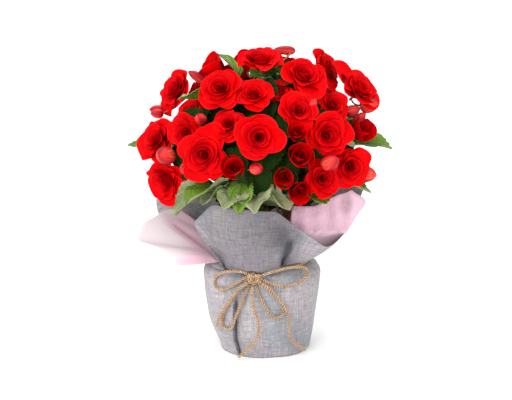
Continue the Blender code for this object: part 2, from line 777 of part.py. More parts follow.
def ball(name, matrix, around_count, up_count, group):
    """A rounded body from a unit sphere put in place by a matrix."""
    bm = bmesh.new()
    bmesh.ops.create_uvsphere(bm, u_segments=around_count, v_segments=up_count, radius=1.0, matrix=matrix)
    return object_from_bmesh(name, bm, group)


def bud_pieces(number, bud, joint, group):
    """A pointed bud and the thin stalk that carries it from the bloom's own stalk."""
    middle = dome_point(bud.bearing, bud.rise, bud.reach)
    towards = (middle - joint).normalized()
    facing = (towards + (middle - Vector((0.0, 0.0, BLOOM_FOCUS_Z))).normalized()).normalized()
    shape = Matrix.Diagonal((bud.width / 2, bud.width / 2, bud.length / 2, 1.0))
    turn = facing.to_track_quat("Z", "Y").to_matrix().to_4x4()
    body = ball(f"bud_{number}", Matrix.Translation(middle) @ turn @ shape, BUD_SIDES, BUD_ROWS, group)
    foot = middle - facing * bud.length * BUD_FOOT
    bend = joint.lerp(foot, BUD_BEND_SHARE) - facing * BUD_BEND
    stalk = tube(f"bud_stalk_{number}", [joint, bend, foot], [BUD_STALK_RADIUS] * 3, 0, group)
    return [stalk, body]


def pedicel_end(number):
    """The lower end of a bloom's own stalk."""
    depth = OPEN_ROSE[0].height if BLOOMS[number].open else HALF_OPEN_ROSE[0].height
    return bloom_frame(number) @ Vector((0.0, 0.0, depth * BLOOMS[number].diameter - PEDICEL_LENGTH))


def build_bloom(number, group):
    """A double flower on its stalk, with the buds of its spray."""
    bloom = BLOOMS[number]
    size = bloom.diameter
    frame = bloom_frame(number)
    rings = OPEN_ROSE if bloom.open else HALF_OPEN_ROSE
    lobes = HALF_OPEN_LOBES
    if bloom.open:
        lobes = SMALL_ROSE_LOBES if size < SMALL_BLOOM else ROSE_LOBES
    foot = pedicel_end(number)
    head = frame @ Vector((0.0, 0.0, -PEDICEL_SINK * size))
    pieces = [
        rosette(frame, size, rings, lobes, group),
        tube("pedicel", [foot, head], [PEDICEL_RADIUS] * 2, 0, group),
    ]
    joint = foot.lerp(head, SPRAY_SHARE)
    for k, bud in enumerate(BUDS):
        if bud.bloom == number:
            pieces += bud_pieces(k, bud, joint, group)
    fuse(f"bloom_{number + 1:02d}", pieces, material("Begonia red", RED, 0.45), group)


# ---------------------------------------------------------------- leafy stems


def leaf_frame(leaf):
    """The start of a leaf blade: local +X runs to the tip and local +Z is its upper face."""
    start = around(leaf.bearing, leaf.radius, leaf.height)
    heading = Matrix.Rotation(math.radians(leaf.heading - 90), 4, "Z")
    pitch = Matrix.Rotation(-math.radians(leaf.pitch), 4, "Y")
    roll = Matrix.Rotation(math.radians(leaf.roll), 4, "X")
    return Matrix.Translation(start) @ heading @ pitch @ roll


def leaf_point(leaf, x, y):
    """A point of a leaf blade, from -1 to 1 along it and across it."""
    run = (x + 1) / 2
    lopsided = 1 + (LEAF_LOPSIDED if y > 0 else -LEAF_LOPSIDED)
    across = y * leaf.width / 2 * lopsided * (LEAF_FOOT_WIDTH - LEAF_TAPER * run)
    sag = -LEAF_SAG * leaf.length * run * run
    trough = LEAF_TROUGH * abs(across)
    return Vector((leaf.length * run, across, sag + trough))


def build_leaf(leaf, group):
    """A lopsided blade with a toothed edge."""
    frame = leaf_frame(leaf)

    def place(x, y, k):
        tooth = 1.0
        if x or y:
            tooth += LEAF_TOOTH if k % 2 == 0 else -LEAF_TOOTH
        return frame @ leaf_point(leaf, x * tooth, y * tooth)

    return closed_blade("leaf", LEAF_POINTS, place, LEAF_THICKNESS, group)


def stem_line(stem):
    """The main stem, from the bottom of its hole to where it branches."""
    turn = 360 * stem / STEMS
    low = POT_TOP_Z - SOIL_DROP - STEM_HOLE_DEPTH + GAP
    return [
        around(turn, STEM_FOOT_RADIUS, low),
        around(turn, STEM_FOOT_RADIUS, POT_TOP_Z),
        around(turn, STEM_FOOT_RADIUS + STEM_BEND_SHARE * (STEM_TOP_RADIUS - STEM_FOOT_RADIUS), STEM_BEND_Z),
        around(turn, STEM_TOP_RADIUS, STEM_TOP_Z),
    ]


def stem_of(bearing):
    """The stem whose sector a bearing falls in."""
    return round(bearing * STEMS / 360) % STEMS


def build_leafy_stem(stem, group):
    """A fleshy stem with its leaves on their stalks, and the stalks that reach up to the blooms."""
    line = stem_line(stem)
    top = line[-1]
    low_joint = line[2].lerp(top, LOW_JOINT_SHARE)
    pieces = [tube("stem", line, STEM_RADII, 0, group)]
    borne = [number for number, bloom in enumerate(BLOOMS) if stem_of(bloom.bearing) == stem]
    for k, number in enumerate(borne):
        end = pedicel_end(number)
        back = (end - bloom_frame(number).translation).normalized()
        end = end + back * GAP * 2
        bend = end + back * BACK_SHARE * (end - top).length
        start = top.lerp(low_joint, FIRST_STALK_SHARE + STALK_SHARE_STEP * (k % STALKS_IN_RUN))
        pieces.append(tube("stalk", [start, bend, end], STALK_RADII, 0, group))
    for leaf in LEAVES:
        if leaf.stem != stem:
            continue
        frame = leaf_frame(leaf)
        start = frame @ leaf_point(leaf, -1.0, 0.0)
        inside = frame @ (leaf_point(leaf, PETIOLE_END, 0.0) - Vector((0.0, 0.0, PETIOLE_SINK)))
        joint = low_joint if leaf.height < HIGH_LEAF_Z else top.lerp(low_joint, HIGH_JOINT_SHARE)
        lift = PETIOLE_LIFT if leaf.height > LIFTED_LEAF_Z else LOW_PETIOLE_LIFT
        middle = joint.lerp(start, PETIOLE_MIDDLE) + Vector((0.0, 0.0, lift))
        pieces.append(tube("petiole", [joint, middle, inside], PETIOLE_RADII, 0, group))
        pieces.append(build_leaf(leaf, group))
    fuse(f"leafy_stem_{stem + 1}", pieces, material("Begonia green", LEAF_GREEN, 0.5), group)


def clear_scene():
    """Remove whatever the scene starts with."""
    for old in list(bpy.data.objects):
        bpy.data.objects.remove(old, do_unlink=True)


def main():
    """Build every piece of the potted begonia."""
    clear_scene()
    group = "Potted begonia"
    collection(group)
    build_pot(group)
    build_soil(group)
    build_wrap(group)
    build_tissue(group)
    build_twine(group)
    for stem in range(STEMS):
        build_leafy_stem(stem, group)
    for number in range(len(BLOOMS)):
        build_bloom(number, group)


main()
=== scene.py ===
"""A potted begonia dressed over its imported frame: petals, buds, leaves, cloth, tissue, twine, pot and soil.

Metres, +Z up, with the origin in the middle of the wrap's flat underside and the bow facing -Y.
A bearing is an angle about +Z from the front, positive towards +X. A rise is an angle up from level.
"""

import logging
import math
import random
from dataclasses import astuple, dataclass, field, replace
from enum import Enum
from functools import cache
from typing import Callable, Iterator, Optional, Sequence, Union

import bmesh
import bpy
from mathutils import Matrix, Vector, noise


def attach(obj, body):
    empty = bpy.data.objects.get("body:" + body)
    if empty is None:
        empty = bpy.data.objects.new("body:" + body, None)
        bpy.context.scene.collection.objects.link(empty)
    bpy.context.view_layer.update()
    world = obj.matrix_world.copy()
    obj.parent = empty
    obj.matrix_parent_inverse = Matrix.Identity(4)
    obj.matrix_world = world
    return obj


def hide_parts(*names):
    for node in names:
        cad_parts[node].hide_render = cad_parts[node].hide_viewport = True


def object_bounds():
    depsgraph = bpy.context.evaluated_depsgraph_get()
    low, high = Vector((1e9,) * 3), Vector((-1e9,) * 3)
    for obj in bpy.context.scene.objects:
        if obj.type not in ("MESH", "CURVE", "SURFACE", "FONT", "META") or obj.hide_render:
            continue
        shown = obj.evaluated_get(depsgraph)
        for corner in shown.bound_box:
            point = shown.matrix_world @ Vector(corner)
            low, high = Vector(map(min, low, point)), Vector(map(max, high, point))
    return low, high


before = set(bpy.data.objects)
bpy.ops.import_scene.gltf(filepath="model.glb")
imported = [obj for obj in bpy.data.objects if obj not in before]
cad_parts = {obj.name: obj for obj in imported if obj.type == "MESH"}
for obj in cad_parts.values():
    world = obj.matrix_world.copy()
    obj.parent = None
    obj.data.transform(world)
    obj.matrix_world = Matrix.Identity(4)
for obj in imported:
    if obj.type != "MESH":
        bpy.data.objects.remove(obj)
CAD_BOX = [list(corner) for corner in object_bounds()]

log = logging.getLogger("begonia")

Colour = tuple[float, float, float]
Span = tuple[float, float]
Place = Callable[[float, float], Vector]
Shading = Union[float, Callable[[float, float], float]]
Key = Union[int, str]
Socket = bpy.types.NodeSocket
Node = bpy.types.Node
Tree = bpy.types.NodeTree
Material = bpy.types.Material
BODY = "root"
VIEW_ELEVATION = 17.0
VIEW_SINE = math.sin(math.radians(VIEW_ELEVATION))
VIEW_COSINE = math.cos(math.radians(VIEW_ELEVATION))
WELD = 0.000004
VEIN_ANGLE = 0.47
VEIN_FOOT = 0.06


class Slot(Enum):
    """The record's material slots, one named for each kind of piece made here."""

    PETALS = "petals"
    FOLIAGE = "foliage"
    LINEN = "linen"
    TISSUE = "tissue"
    TWINE = "twine"


class FarEnd(Enum):
    """How a length of twine ends."""

    BACK_IN_KNOT = "object"
    CUT = "bare"


class Kind(Enum):
    """The kinds of value that pass in and out of a shared effect."""

    VECTOR = "NodeSocketVector"
    FLOAT = "NodeSocketFloat"
    COLOUR = "NodeSocketColor"


# ---- shared geometry


def around(bearing: float, radius: float, height: float) -> Vector:
    """The point at a bearing in degrees, a distance from the axis and a height."""
    angle = math.radians(bearing)
    return Vector((radius * math.sin(angle), -radius * math.cos(angle), height))


def ease(low: float, high: float, value: float) -> float:
    """A smooth step from 0 at low to 1 at high."""
    share = min(1.0, max(0.0, (value - low) / (high - low)))
    return share * share * (3 - 2 * share)


def hump(value: float, centre: float, width: float) -> float:
    """A bell of height 1 about a centre."""
    return math.exp(-(((value - centre) / width) ** 2))


def plateau(value: float, rise: Span, fall: Span) -> float:
    """1 between a slope up and a slope down, and 0 outside them, each slope given as its start and end."""
    return ease(*rise, value) * (1 - ease(*fall, value))


def turn_between(bearing: float, centre: float) -> float:
    """How far a bearing lies from another in degrees, from -180 to 180."""
    return (bearing - centre + 180) % 360 - 180


def smooth_route(points: Sequence[Vector], step: float) -> list[Vector]:
    """Points about one step apart on a smooth curve through the points given.

    Args:
        points: what the curve passes through, two or more.
        step: the rough distance between the points returned.

    Returns:
        The curve's points, from the first given point to the last.
    """
    ends = [points[0] * 2 - points[1], *points, points[-1] * 2 - points[-2]]
    route = []
    for before, start, end, after in zip(ends, ends[1:], ends[2:], ends[3:]):
        pieces = max(1, round((end - start).length / step))
        for k in range(pieces):
            t = k / pieces
            route.append(
                0.5 * (2 * start + (end - before) * t
                       + (2 * before - 5 * start + 4 * end - after) * t * t
                       + (3 * start - before - 3 * end + after) * t ** 3)
            )
    route.append(points[-1].copy())
    return route


def taper(foot: float, loss: float) -> Callable[[float], float]:
    """A bar's radius at a share of its length: that of its foot, less an even loss."""
    return lambda share: foot - loss * share


def swell(foot: float, gain: float) -> Callable[[float], float]:
    """A bar's radius at a share of its length: that of its foot, and an even gain as a share of it."""
    return lambda share: foot * (1 + gain * share)


def route_length(points: Sequence[Vector]) -> float:
    """The length of a line of points."""
    return sum((b - a).length for a, b in zip(points, points[1:]))


def seen_up(point: Vector) -> float:
    """How high a point stands for an eye that looks down a little from the front."""
    return point.y * VIEW_SINE + point.z * VIEW_COSINE


def disc_point(x: float, y: float) -> tuple[float, float]:
    """The point of a round disc for a point of the square from -1 to 1."""
    return x * math.sqrt(1 - y * y / 2), y * math.sqrt(1 - x * x / 2)


class Shaper:
    """A bmesh that blades, sheets and tubes are laid into, one grid at a time."""

    def __init__(self) -> None:
        """Start an empty mesh with a UV map and a shade value at each point, which materials read as painted
        shade on cloth, tissue, twine and petals, and as the red flush on stalks.
        """
        self.bm = bmesh.new()
        self.uv = self.bm.loops.layers.uv.new("Surface")
        self.shade = self.bm.verts.layers.float.new("shade")

    def lay(
        self, along: int, across: int, place: Place, finish: int = 0, shade: Shading = 0.0,
    ) -> list[bmesh.types.BMVert]:
        """Lay a grid and put its points in place.

        Args:
            along: faces in the grid's first direction.
            across: faces in its second direction.
            place: gives the point for two shares from 0 to 1.
            finish: the material slot of its faces.
            shade: the value kept at its points, or what gives it for the two shares.

        Returns:
            The grid's vertices.
        """
        made = bmesh.ops.create_grid(
            self.bm, x_segments=along, y_segments=across, size=0.5, calc_uvs=True,
        )["verts"]
        for vertex in made:
            first, second = vertex.co.x + 0.5, vertex.co.y + 0.5
            vertex.co = place(first, second)
            vertex[self.shade] = shade(first, second) if callable(shade) else shade
        for face in {face for vertex in made for face in vertex.link_faces}:
            face.material_index = finish
            face.smooth = True
        return made

    def roll(
        self, round_count: int, along: int, place: Place, finish: int = 0, shade: Shading = 0.0,
    ) -> None:
        """Lay a grid whose first direction closes on itself, and weld its seam and its poles.

        Args:
            round_count: faces round it.
            along: faces along it.
            place: gives the point for a share round and a share along.
            finish: the material slot of its faces.
            shade: the value kept at its points, or what gives it for the two shares.
        """
        made = self.lay(round_count, along, place, finish, shade)
        bmesh.ops.remove_doubles(self.bm, verts=made, dist=WELD)

    def tube(
        self, line: Sequence[Vector], radius: Callable[[float], float], sides: int,
        finish: int = 0, shade: float = 0.0,
    ) -> None:
        """Lay a round bar with rounded, closed ends.

        Args:
            line: its middle line.
            radius: gives the radius at a share of its length.
            sides: faces round it.
            finish: the material slot of its faces.
            shade: the value kept at its points.
        """
        frames = list(carried_frames(line))
        last = len(line) - 1

        def place(turn: float, share: float) -> Vector:
            """A point of the bar's skin.

            Args:
                turn: 0 to 1 round it.
                share: 0 to 1 along it.

            Returns:
                The point.
            """
            k = min(last, round(share * last))
            middle, _, first, second = frames[k]
            reach = 0.0 if k in (0, last) else radius(share)
            angle = math.tau * turn
            return middle + (first * math.cos(angle) + second * math.sin(angle)) * reach

        self.roll(sides, last, place, finish, shade)

    def hair(self, foot: Vector, tip: Vector, radius: float, finish: int = 0) -> None:
        """Lay one thin tapered fibre.

        Args:
            foot: its thick end.
            tip: its thin end.
            radius: the radius at its foot.
            finish: the material slot of its faces.
        """
        run = tip - foot
        turn = run.to_track_quat("Z", "Y").to_matrix().to_4x4()
        made = bmesh.ops.create_cone(
            self.bm, cap_ends=True, segments=3, radius1=radius, radius2=radius * 0.25, depth=run.length,
            matrix=Matrix.Translation((foot + tip) / 2) @ turn, calc_uvs=True,
        )["verts"]
        for face in {face for vertex in made for face in vertex.link_faces}:
            face.material_index = finish


def carried_frames(line: Sequence[Vector]) -> Iterator[tuple[Vector, Vector, Vector, Vector]]:
    """Each point of a line with its direction and two square directions that don't twist along it.

    Args:
        line: the line's points.

    Yields:
        The point, its direction and the two directions square to it.
    """
    side = None
    for k, point in enumerate(line):
        ahead = (line[min(k + 1, len(line) - 1)] - line[max(k - 1, 0)]).normalized()
        if side is None:
            side = ahead.orthogonal()
        side = (side - ahead * side.dot(ahead)).normalized()
        yield point, ahead, side, ahead.cross(side)


def bring_in(
    name: str, shaper: Shaper, materials: Sequence[Material], slot: Slot,
    nodes: Sequence[str] = (),
) -> bpy.types.Object:
    """Turn a shaped mesh into a piece that rides on the frame.

    Args:
        name: the piece's name.
        shaper: its mesh, which is used up.
        materials: its material slots in order.
        slot: the record's slot for its finish; not used.
        nodes: the CAD nodes that it stands for.

    Returns:
        The new object.
    """
    mesh = bpy.data.meshes.new(name)
    shaper.bm.to_mesh(mesh)
    shaper.bm.free()
    for material in materials:
        mesh.materials.append(material)
    piece = bpy.data.objects.new(name, mesh)
    bpy.context.scene.collection.objects.link(piece)
    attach(piece, BODY)
    if nodes:
        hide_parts(*nodes)
    log.info("%s: %d faces", name, len(mesh.polygons))
    return piece


def thicken(piece: bpy.types.Object, thickness: float, offset: float, under: int = 0) -> None:
    """Give an open surface its thickness, with another material slot on its far side if under is set.

    Args:
        piece: the surface.
        thickness: metres.
        offset: -1 for inward, 0 for both ways.
        under: how many slots on the far side's material is.
    """
    solid = piece.modifiers.new("Thickness", "SOLIDIFY")
    solid.thickness = thickness
    solid.offset = offset
    solid.use_even_offset = False
    solid.material_offset = under


# ---- finishes


class Wiring:
    """Short ways to add and join nodes in one node tree."""

    def __init__(self, tree: Tree, shader: Optional[Node] = None) -> None:
        """Work in this tree, and dress this shader if there is one."""
        self.tree = tree
        self.shader = shader

    def add(self, kind: str, **settings: object) -> Node:
        """Add a node and set its properties.

        Args:
            kind: the node's type.
            settings: the node's properties.

        Returns:
            The new node.
        """
        node = self.tree.nodes.new(kind)
        for name, value in settings.items():
            setattr(node, name, value)
        return node

    def feed(self, socket: Socket, value: object) -> None:
        """Join a socket to another, or set its value.

        Args:
            socket: the input.
            value: a socket, a number, a colour or a vector.
        """
        if isinstance(value, Socket):
            self.tree.links.new(value, socket)
        elif isinstance(value, tuple) and len(value) == 3 and socket.type == "RGBA":
            socket.default_value = (*value, 1.0)
        else:
            socket.default_value = value

    def value(self, kind: str, output: Key, inputs: dict[Key, object], **settings: object) -> Socket:
        """Add a node, feed the inputs given by name or number, and give one of its outputs.

        Args:
            kind: the node's type.
            output: the output's name or number.
            inputs: sockets or values by name or number.
            settings: the node's properties.

        Returns:
            That output.
        """
        node = self.add(kind, **settings)
        for name, value in inputs.items():
            self.feed(node.inputs[name], value)
        return node.outputs[output]

    def math(self, operation: str, *values: object) -> Socket:
        """One Math node's value."""
        return self.value("ShaderNodeMath", 0, dict(enumerate(values)), operation=operation)

    def times(self, first: object, second: object) -> Socket:
        """The product of two values."""
        return self.math("MULTIPLY", first, second)

    def plus(self, first: object, second: object) -> Socket:
        """The sum of two values."""
        return self.math("ADD", first, second)

    def minus(self, first: object, second: object) -> Socket:
        """The first value less the second."""
        return self.math("SUBTRACT", first, second)

    def away(self, value: object, centre: float) -> Socket:
        """How far a value lies from a centre, on either side."""
        return self.math("ABSOLUTE", self.minus(value, centre))

    def span(self, value: object, low: float, high: float) -> Socket:
        """A smooth step of a value from 0 at low to 1 at high."""
        inputs = {"Value": value, "From Min": low, "From Max": high}
        return self.value("ShaderNodeMapRange", "Result", inputs, interpolation_type="SMOOTHSTEP")

    def mix(self, share: object, first: object, second: object) -> Socket:
        """A mix of two colours."""
        return self.value("ShaderNodeMix", 2, {"Factor": share, 6: first, 7: second}, data_type="RGBA")

    def noise(self, vector: object, scale: object, detail: float = 3.0, rough: float = 0.5) -> Socket:
        """A noise texture's value."""
        inputs = {"Vector": vector, "Scale": scale, "Detail": detail, "Roughness": rough}
        return self.value("ShaderNodeTexNoise", "Fac", inputs)

    def surface(self) -> Socket:
        """The piece's own UV map."""
        return self.value("ShaderNodeUVMap", "UV", {}, uv_map="Surface")

    def place(self) -> Socket:
        """Object coordinates."""
        return self.value("ShaderNodeTexCoord", "Object", {})

    def shade(self) -> Socket:
        """The value kept at the piece's points."""
        return self.value("ShaderNodeAttribute", "Fac", {}, attribute_name="shade")

    def split(self, vector: object) -> tuple[Socket, Socket]:
        """The first two parts of a vector."""
        return tuple(self.value("ShaderNodeSeparateXYZ", part, {0: vector}) for part in (0, 1))

    def join(self, first: object, second: object) -> Socket:
        """A vector with these first two parts."""
        return self.value("ShaderNodeCombineXYZ", 0, {0: first, 1: second})

    def bump(self, height: object, distance: float, strength: float = 1.0) -> Socket:
        """A normal from a height."""
        inputs = {"Height": height, "Distance": distance, "Strength": strength}
        return self.value("ShaderNodeBump", "Normal", inputs)

    def dress(self, colour: object, height: object, distance: float, strength: float) -> None:
        """Give the shader its colour, and its relief from a height."""
        self.feed(self.shader.inputs["Base Color"], colour)
        self.feed(self.shader.inputs["Normal"], self.bump(height, distance, strength))

    def mottle(self, scale: float, first: Colour, second: Colour) -> Node:
        """The mottle effect on object coordinates."""
        return self.use(Effects.mottle(), Vector=self.place(), Scale=scale, First=first, Second=second)

    def streaks(self, vector: object, along: float, across: float) -> Node:
        """The streaks effect on a surface's own directions."""
        return self.use(Effects.streaks(), Vector=vector, Along=along, Across=across)

    def use(self, group: Tree, **values: object) -> Node:
        """Place a node group and feed its inputs.

        Args:
            group: the group.
            values: its inputs by name.

        Returns:
            The group's node.
        """
        node = self.add("ShaderNodeGroup")
        node.node_tree = group
        for name, value in values.items():
            self.feed(node.inputs[name], value)
        return node


class Effects:
    """The effects that several materials share, each built once as a node group."""

    @staticmethod
    def start(
        name: str, inputs: dict[str, Kind], outputs: dict[str, Kind],
    ) -> tuple[Tree, Wiring, Node, Node]:
        """Start a group with its sockets.

        Args:
            name: the group's name.
            inputs: its inputs' kinds by name.
            outputs: its outputs' kinds by name.

        Returns:
            The group, its wiring, its input node and its output node.
        """
        group = bpy.data.node_groups.new(name, "ShaderNodeTree")
        for title, kind in inputs.items():
            group.interface.new_socket(name=title, in_out="INPUT", socket_type=kind.value)
        for title, kind in outputs.items():
            group.interface.new_socket(name=title, in_out="OUTPUT", socket_type=kind.value)
        wiring = Wiring(group)
        return group, wiring, wiring.add("NodeGroupInput"), wiring.add("NodeGroupOutput")

    @classmethod
    @cache
    def mottle(cls) -> Tree:
        """Soft drifts of one colour into another, with a finer grain on top.

        Returns:
            The group, which gives Color and Grain.
        """
        group, w, source, sink = cls.start(
            "Mottle",
            {"Vector": Kind.VECTOR, "Scale": Kind.FLOAT, "First": Kind.COLOUR, "Second": Kind.COLOUR},
            {"Color": Kind.COLOUR, "Grain": Kind.FLOAT},
        )
        place, scale = source.outputs["Vector"], source.outputs["Scale"]
        drift = w.noise(place, scale, 2.0)
        fine = w.noise(place, w.times(scale, 7.0), 3.0)
        share = w.plus(w.times(w.span(drift, 0.32, 0.68), 0.75), w.times(fine, 0.25))
        w.feed(sink.inputs["Color"], w.mix(share, source.outputs["First"], source.outputs["Second"]))
        w.feed(sink.inputs["Grain"], fine)
        return group

    @classmethod
    @cache
    def streaks(cls) -> Tree:
        """Long fine streaks along the first direction of a surface, as in petals, fibres and threads.

        Returns:
            The group, which gives Mask and Height.
        """
        group, w, source, sink = cls.start(
            "Streaks",
            {"Vector": Kind.VECTOR, "Along": Kind.FLOAT, "Across": Kind.FLOAT},
            {"Mask": Kind.FLOAT, "Height": Kind.FLOAT},
        )
        scales = w.join(source.outputs["Along"], source.outputs["Across"])
        inputs = {0: source.outputs["Vector"], 1: scales}
        stretched = w.value("ShaderNodeVectorMath", 0, inputs, operation="MULTIPLY")
        value = w.noise(stretched, 1.0, 3.0, 0.6)
        w.feed(sink.inputs["Mask"], w.span(value, 0.42, 0.66))
        w.feed(sink.inputs["Height"], value)
        return group

    @classmethod
    @cache
    def veins(cls) -> Tree:
        """A leaf's veins, which fan from its foot and carry finer ones, from its own UV map.

        Returns:
            The group, which gives Mask and Height.
        """
        group, w, source, sink = cls.start(
            "Leaf veins", {"Vector": Kind.VECTOR}, {"Mask": Kind.FLOAT, "Height": Kind.FLOAT},
        )
        blade = source.outputs["Vector"]
        run, side = w.split(blade)
        waver = w.times(w.minus(w.noise(blade, 5.0, 1.0), 0.5), 0.16)
        off_rib = w.plus(w.away(side, 0.5), w.times(waver, run))
        from_foot = w.plus(run, VEIN_FOOT)
        angle = w.math("ARCTAN2", off_rib, from_foot)
        reach = w.math("SQRT", w.plus(w.times(off_rib, off_rib), w.times(from_foot, from_foot)))
        ray = w.away(w.math("FRACT", w.plus(w.math("DIVIDE", angle, VEIN_ANGLE), 0.5)), 0.5)
        off_ray = w.times(w.times(ray, VEIN_ANGLE), reach)
        main = w.minus(1.0, w.span(off_ray, 0.004, 0.018))
        drift = w.times(w.noise(blade, 9.0, 2.0), 0.16)
        slant = w.plus(w.minus(reach, w.times(ray, 0.22)), drift)
        cell = w.away(w.math("FRACT", w.times(slant, 6.5)), 0.5)
        small = w.times(w.minus(1.0, w.span(cell, 0.02, 0.09)), 0.26)
        mask = w.math("MAXIMUM", main, small)
        quilt = w.times(w.plus(0.7, w.times(w.span(cell, 0.0, 0.4), 0.3)), w.span(off_ray, 0.0, 0.05))
        w.feed(sink.inputs["Mask"], mask)
        w.feed(sink.inputs["Height"], w.minus(quilt, w.times(mask, 0.5)))
        return group


@dataclass(frozen=True)
class Finish:
    """A finish: its name, roughness, and how its material is wired."""

    name: str
    roughness: float = 0.6
    specular: float = 0.4
    sheen: float = 0.0

    def material(self) -> Material:
        """The finish's material, made once.

        Returns:
            The material.
        """
        made = bpy.data.materials.get(self.name)
        if made:
            return made
        made = bpy.data.materials.new(self.name)
        made.use_nodes = True
        shader = made.node_tree.nodes["Principled BSDF"]
        shader.inputs["Roughness"].default_value = self.roughness
        shader.inputs["Specular IOR Level"].default_value = self.specular
        shader.inputs["Sheen Weight"].default_value = self.sheen
        self.wire(Wiring(made.node_tree, shader))
        return made

    def wire(self, w: Wiring) -> None:
        """Add the finish's own colour and relief."""
        raise NotImplementedError


@dataclass(frozen=True)
class PetalFinish(Finish):
    """Velvety red with a thin pale rim and painted shade that deepens it towards each petal's foot and the
    flower's heart.
    """

    bright: Colour = (0.8, 0.0, 0.001)
    deep: Colour = (0.5, 0.0, 0.002)
    # Painted shade: the colour that the inner rings deepen to in the flower's heart.
    heart: Colour = (0.34, 0.0, 0.004)
    rim: Colour = (0.94, 0.016, 0.014)

    def wire(self, w: Wiring) -> None:
        """Streak the red along the petal, paint shade towards its foot and the heart, and lighten the rim.

        Args:
            w: the material's wiring.
        """
        surface = w.surface()
        streaks = w.streaks(surface, 2.2, 15.0)
        drift = w.mottle(42.0, self.bright, self.deep)
        colour = w.mix(w.times(streaks.outputs["Mask"], 0.32), drift.outputs["Color"], self.deep)
        run, side = w.split(surface)
        # Painted shade: each petal deepens towards its foot, then the inner rings towards the heart colour.
        colour = w.mix(w.span(run, 0.45, 0.0), colour, self.deep)
        colour = w.mix(w.times(w.shade(), 0.75), colour, self.heart)
        out = w.times(w.away(side, 0.5), 2.0)
        edge = w.math("MAXIMUM", w.times(out, w.span(run, 0.25, 0.5)), run)
        colour = w.mix(w.times(w.span(edge, 0.94, 1.0), 0.5), colour, self.rim)
        w.dress(colour, streaks.outputs["Height"], 0.0005, 0.6)


@dataclass(frozen=True)
class BudFinish(Finish):
    """Coral with peach streaks and crimson flanks."""

    coral: Colour = (0.6, 0.006, 0.008)
    peach: Colour = (0.86, 0.19, 0.1)
    crimson: Colour = (0.3, 0.001, 0.009)

    def wire(self, w: Wiring) -> None:
        """Streak the bud from foot to tip and redden two of its sides.

        Args:
            w: the material's wiring.
        """
        turn, run = w.split(w.surface())
        streaks = w.streaks(w.join(run, turn), 2.0, 26.0)
        wave = w.math("SINE", w.times(turn, 2 * math.tau))
        colour = w.mix(w.span(wave, -0.2, 0.9), self.coral, self.crimson)
        face = w.times(w.span(wave, 0.3, -0.9), w.span(run, 0.98, 0.45))
        pale = w.plus(w.times(streaks.outputs["Mask"], 0.7), 0.04)
        colour = w.mix(w.times(pale, face), colour, self.peach)
        colour = w.mix(w.span(run, 0.86, 1.0), colour, self.crimson)
        w.dress(colour, streaks.outputs["Height"], 0.0004, 0.5)


@dataclass(frozen=True)
class LeafFinish(Finish):
    """One face of a leaf: two greens that drift, and its veins."""

    first: Colour = (0.036, 0.11, 0.008)
    second: Colour = (0.15, 0.265, 0.02)
    vein: Colour = (0.25, 0.35, 0.07)
    vein_share: float = 0.5
    relief: float = 0.0012

    def wire(self, w: Wiring) -> None:
        """Mottle the green, draw the veins and puff the blade between them.

        Args:
            w: the material's wiring.
        """
        veins = w.use(Effects.veins(), Vector=w.surface())
        mottle = w.mottle(34.0, self.first, self.second)
        share = w.times(veins.outputs["Mask"], self.vein_share)
        height = w.plus(veins.outputs["Height"], w.times(mottle.outputs["Grain"], 0.35))
        w.dress(w.mix(share, mottle.outputs["Color"], self.vein), height, self.relief, 0.7)


@dataclass(frozen=True)
class StalkFinish(Finish):
    """Fleshy stalks, green below and flushed red towards the flowers."""

    green: Colour = (0.12, 0.21, 0.045)
    flush: Colour = (0.27, 0.075, 0.04)
    ripe: Colour = (0.38, 0.14, 0.07)

    def wire(self, w: Wiring) -> None:
        """Drift between green and red by the stalk's own flush.

        Args:
            w: the material's wiring.
        """
        low = w.mottle(60.0, self.green, self.flush)
        high = w.mottle(90.0, self.flush, self.ripe)
        colour = w.mix(w.shade(), low.outputs["Color"], high.outputs["Color"])
        w.dress(colour, low.outputs["Grain"], 0.0004, 0.4)


@dataclass(frozen=True)
class LinenFinish(Finish):
    """Grey linen-look cloth: fine crossing threads, slubs, faint tints and painted shade over its front flap,
    pleat and folds.
    """

    light: Colour = (0.425, 0.4, 0.395)
    dark: Colour = (0.155, 0.148, 0.165)
    mauve: Colour = (0.375, 0.318, 0.365)
    blue: Colour = (0.27, 0.3, 0.325)
    bright: Colour = (0.62, 0.59, 0.58)
    # Painted shade: the colour that the cloth darkens towards in its shaded places.
    painted_shade: Colour = (0.036, 0.036, 0.044)
    threads_per_metre: float = 640.0
    slubs_per_metre: float = 330.0
    thread_angle: float = 86.0

    def wire(self, w: Wiring) -> None:
        """Cross two sets of threads, tint the cloth in wide drifts and darken it by the painted shade kept at
        its points.

        Args:
            w: the material's wiring.
        """
        surface = w.surface()
        turn = (0.0, 0.0, math.radians(self.thread_angle))
        across = w.value("ShaderNodeMapping", 0, {"Vector": surface, "Rotation": turn})
        weft = w.streaks(surface, 75.0, self.threads_per_metre)
        warp = w.streaks(across, 75.0, self.threads_per_metre)
        coarse_weft = w.streaks(surface, 26.0, self.slubs_per_metre)
        coarse_warp = w.streaks(across, 26.0, self.slubs_per_metre)
        threads = w.times(w.plus(weft.outputs["Mask"], warp.outputs["Mask"]), 0.5)
        slubs = w.times(coarse_weft.outputs["Mask"], coarse_warp.outputs["Mask"])
        place = w.place()
        tint = w.mottle(17.0, self.light, self.mauve)
        drift = w.times(w.span(w.noise(place, 21.0, 1.0), 0.46, 0.66), 0.8)
        colour = w.mix(drift, tint.outputs["Color"], self.blue)
        colour = w.mix(w.times(threads, 0.85), colour, self.dark)
        colour = w.mix(w.times(slubs, 0.45), colour, self.bright)
        relief = w.plus(weft.outputs["Height"], warp.outputs["Height"])
        # Painted shade: the value kept at the cloth's points darkens it towards the shade colour.
        w.dress(w.mix(w.shade(), colour, self.painted_shade), relief, 0.0005, 0.6)


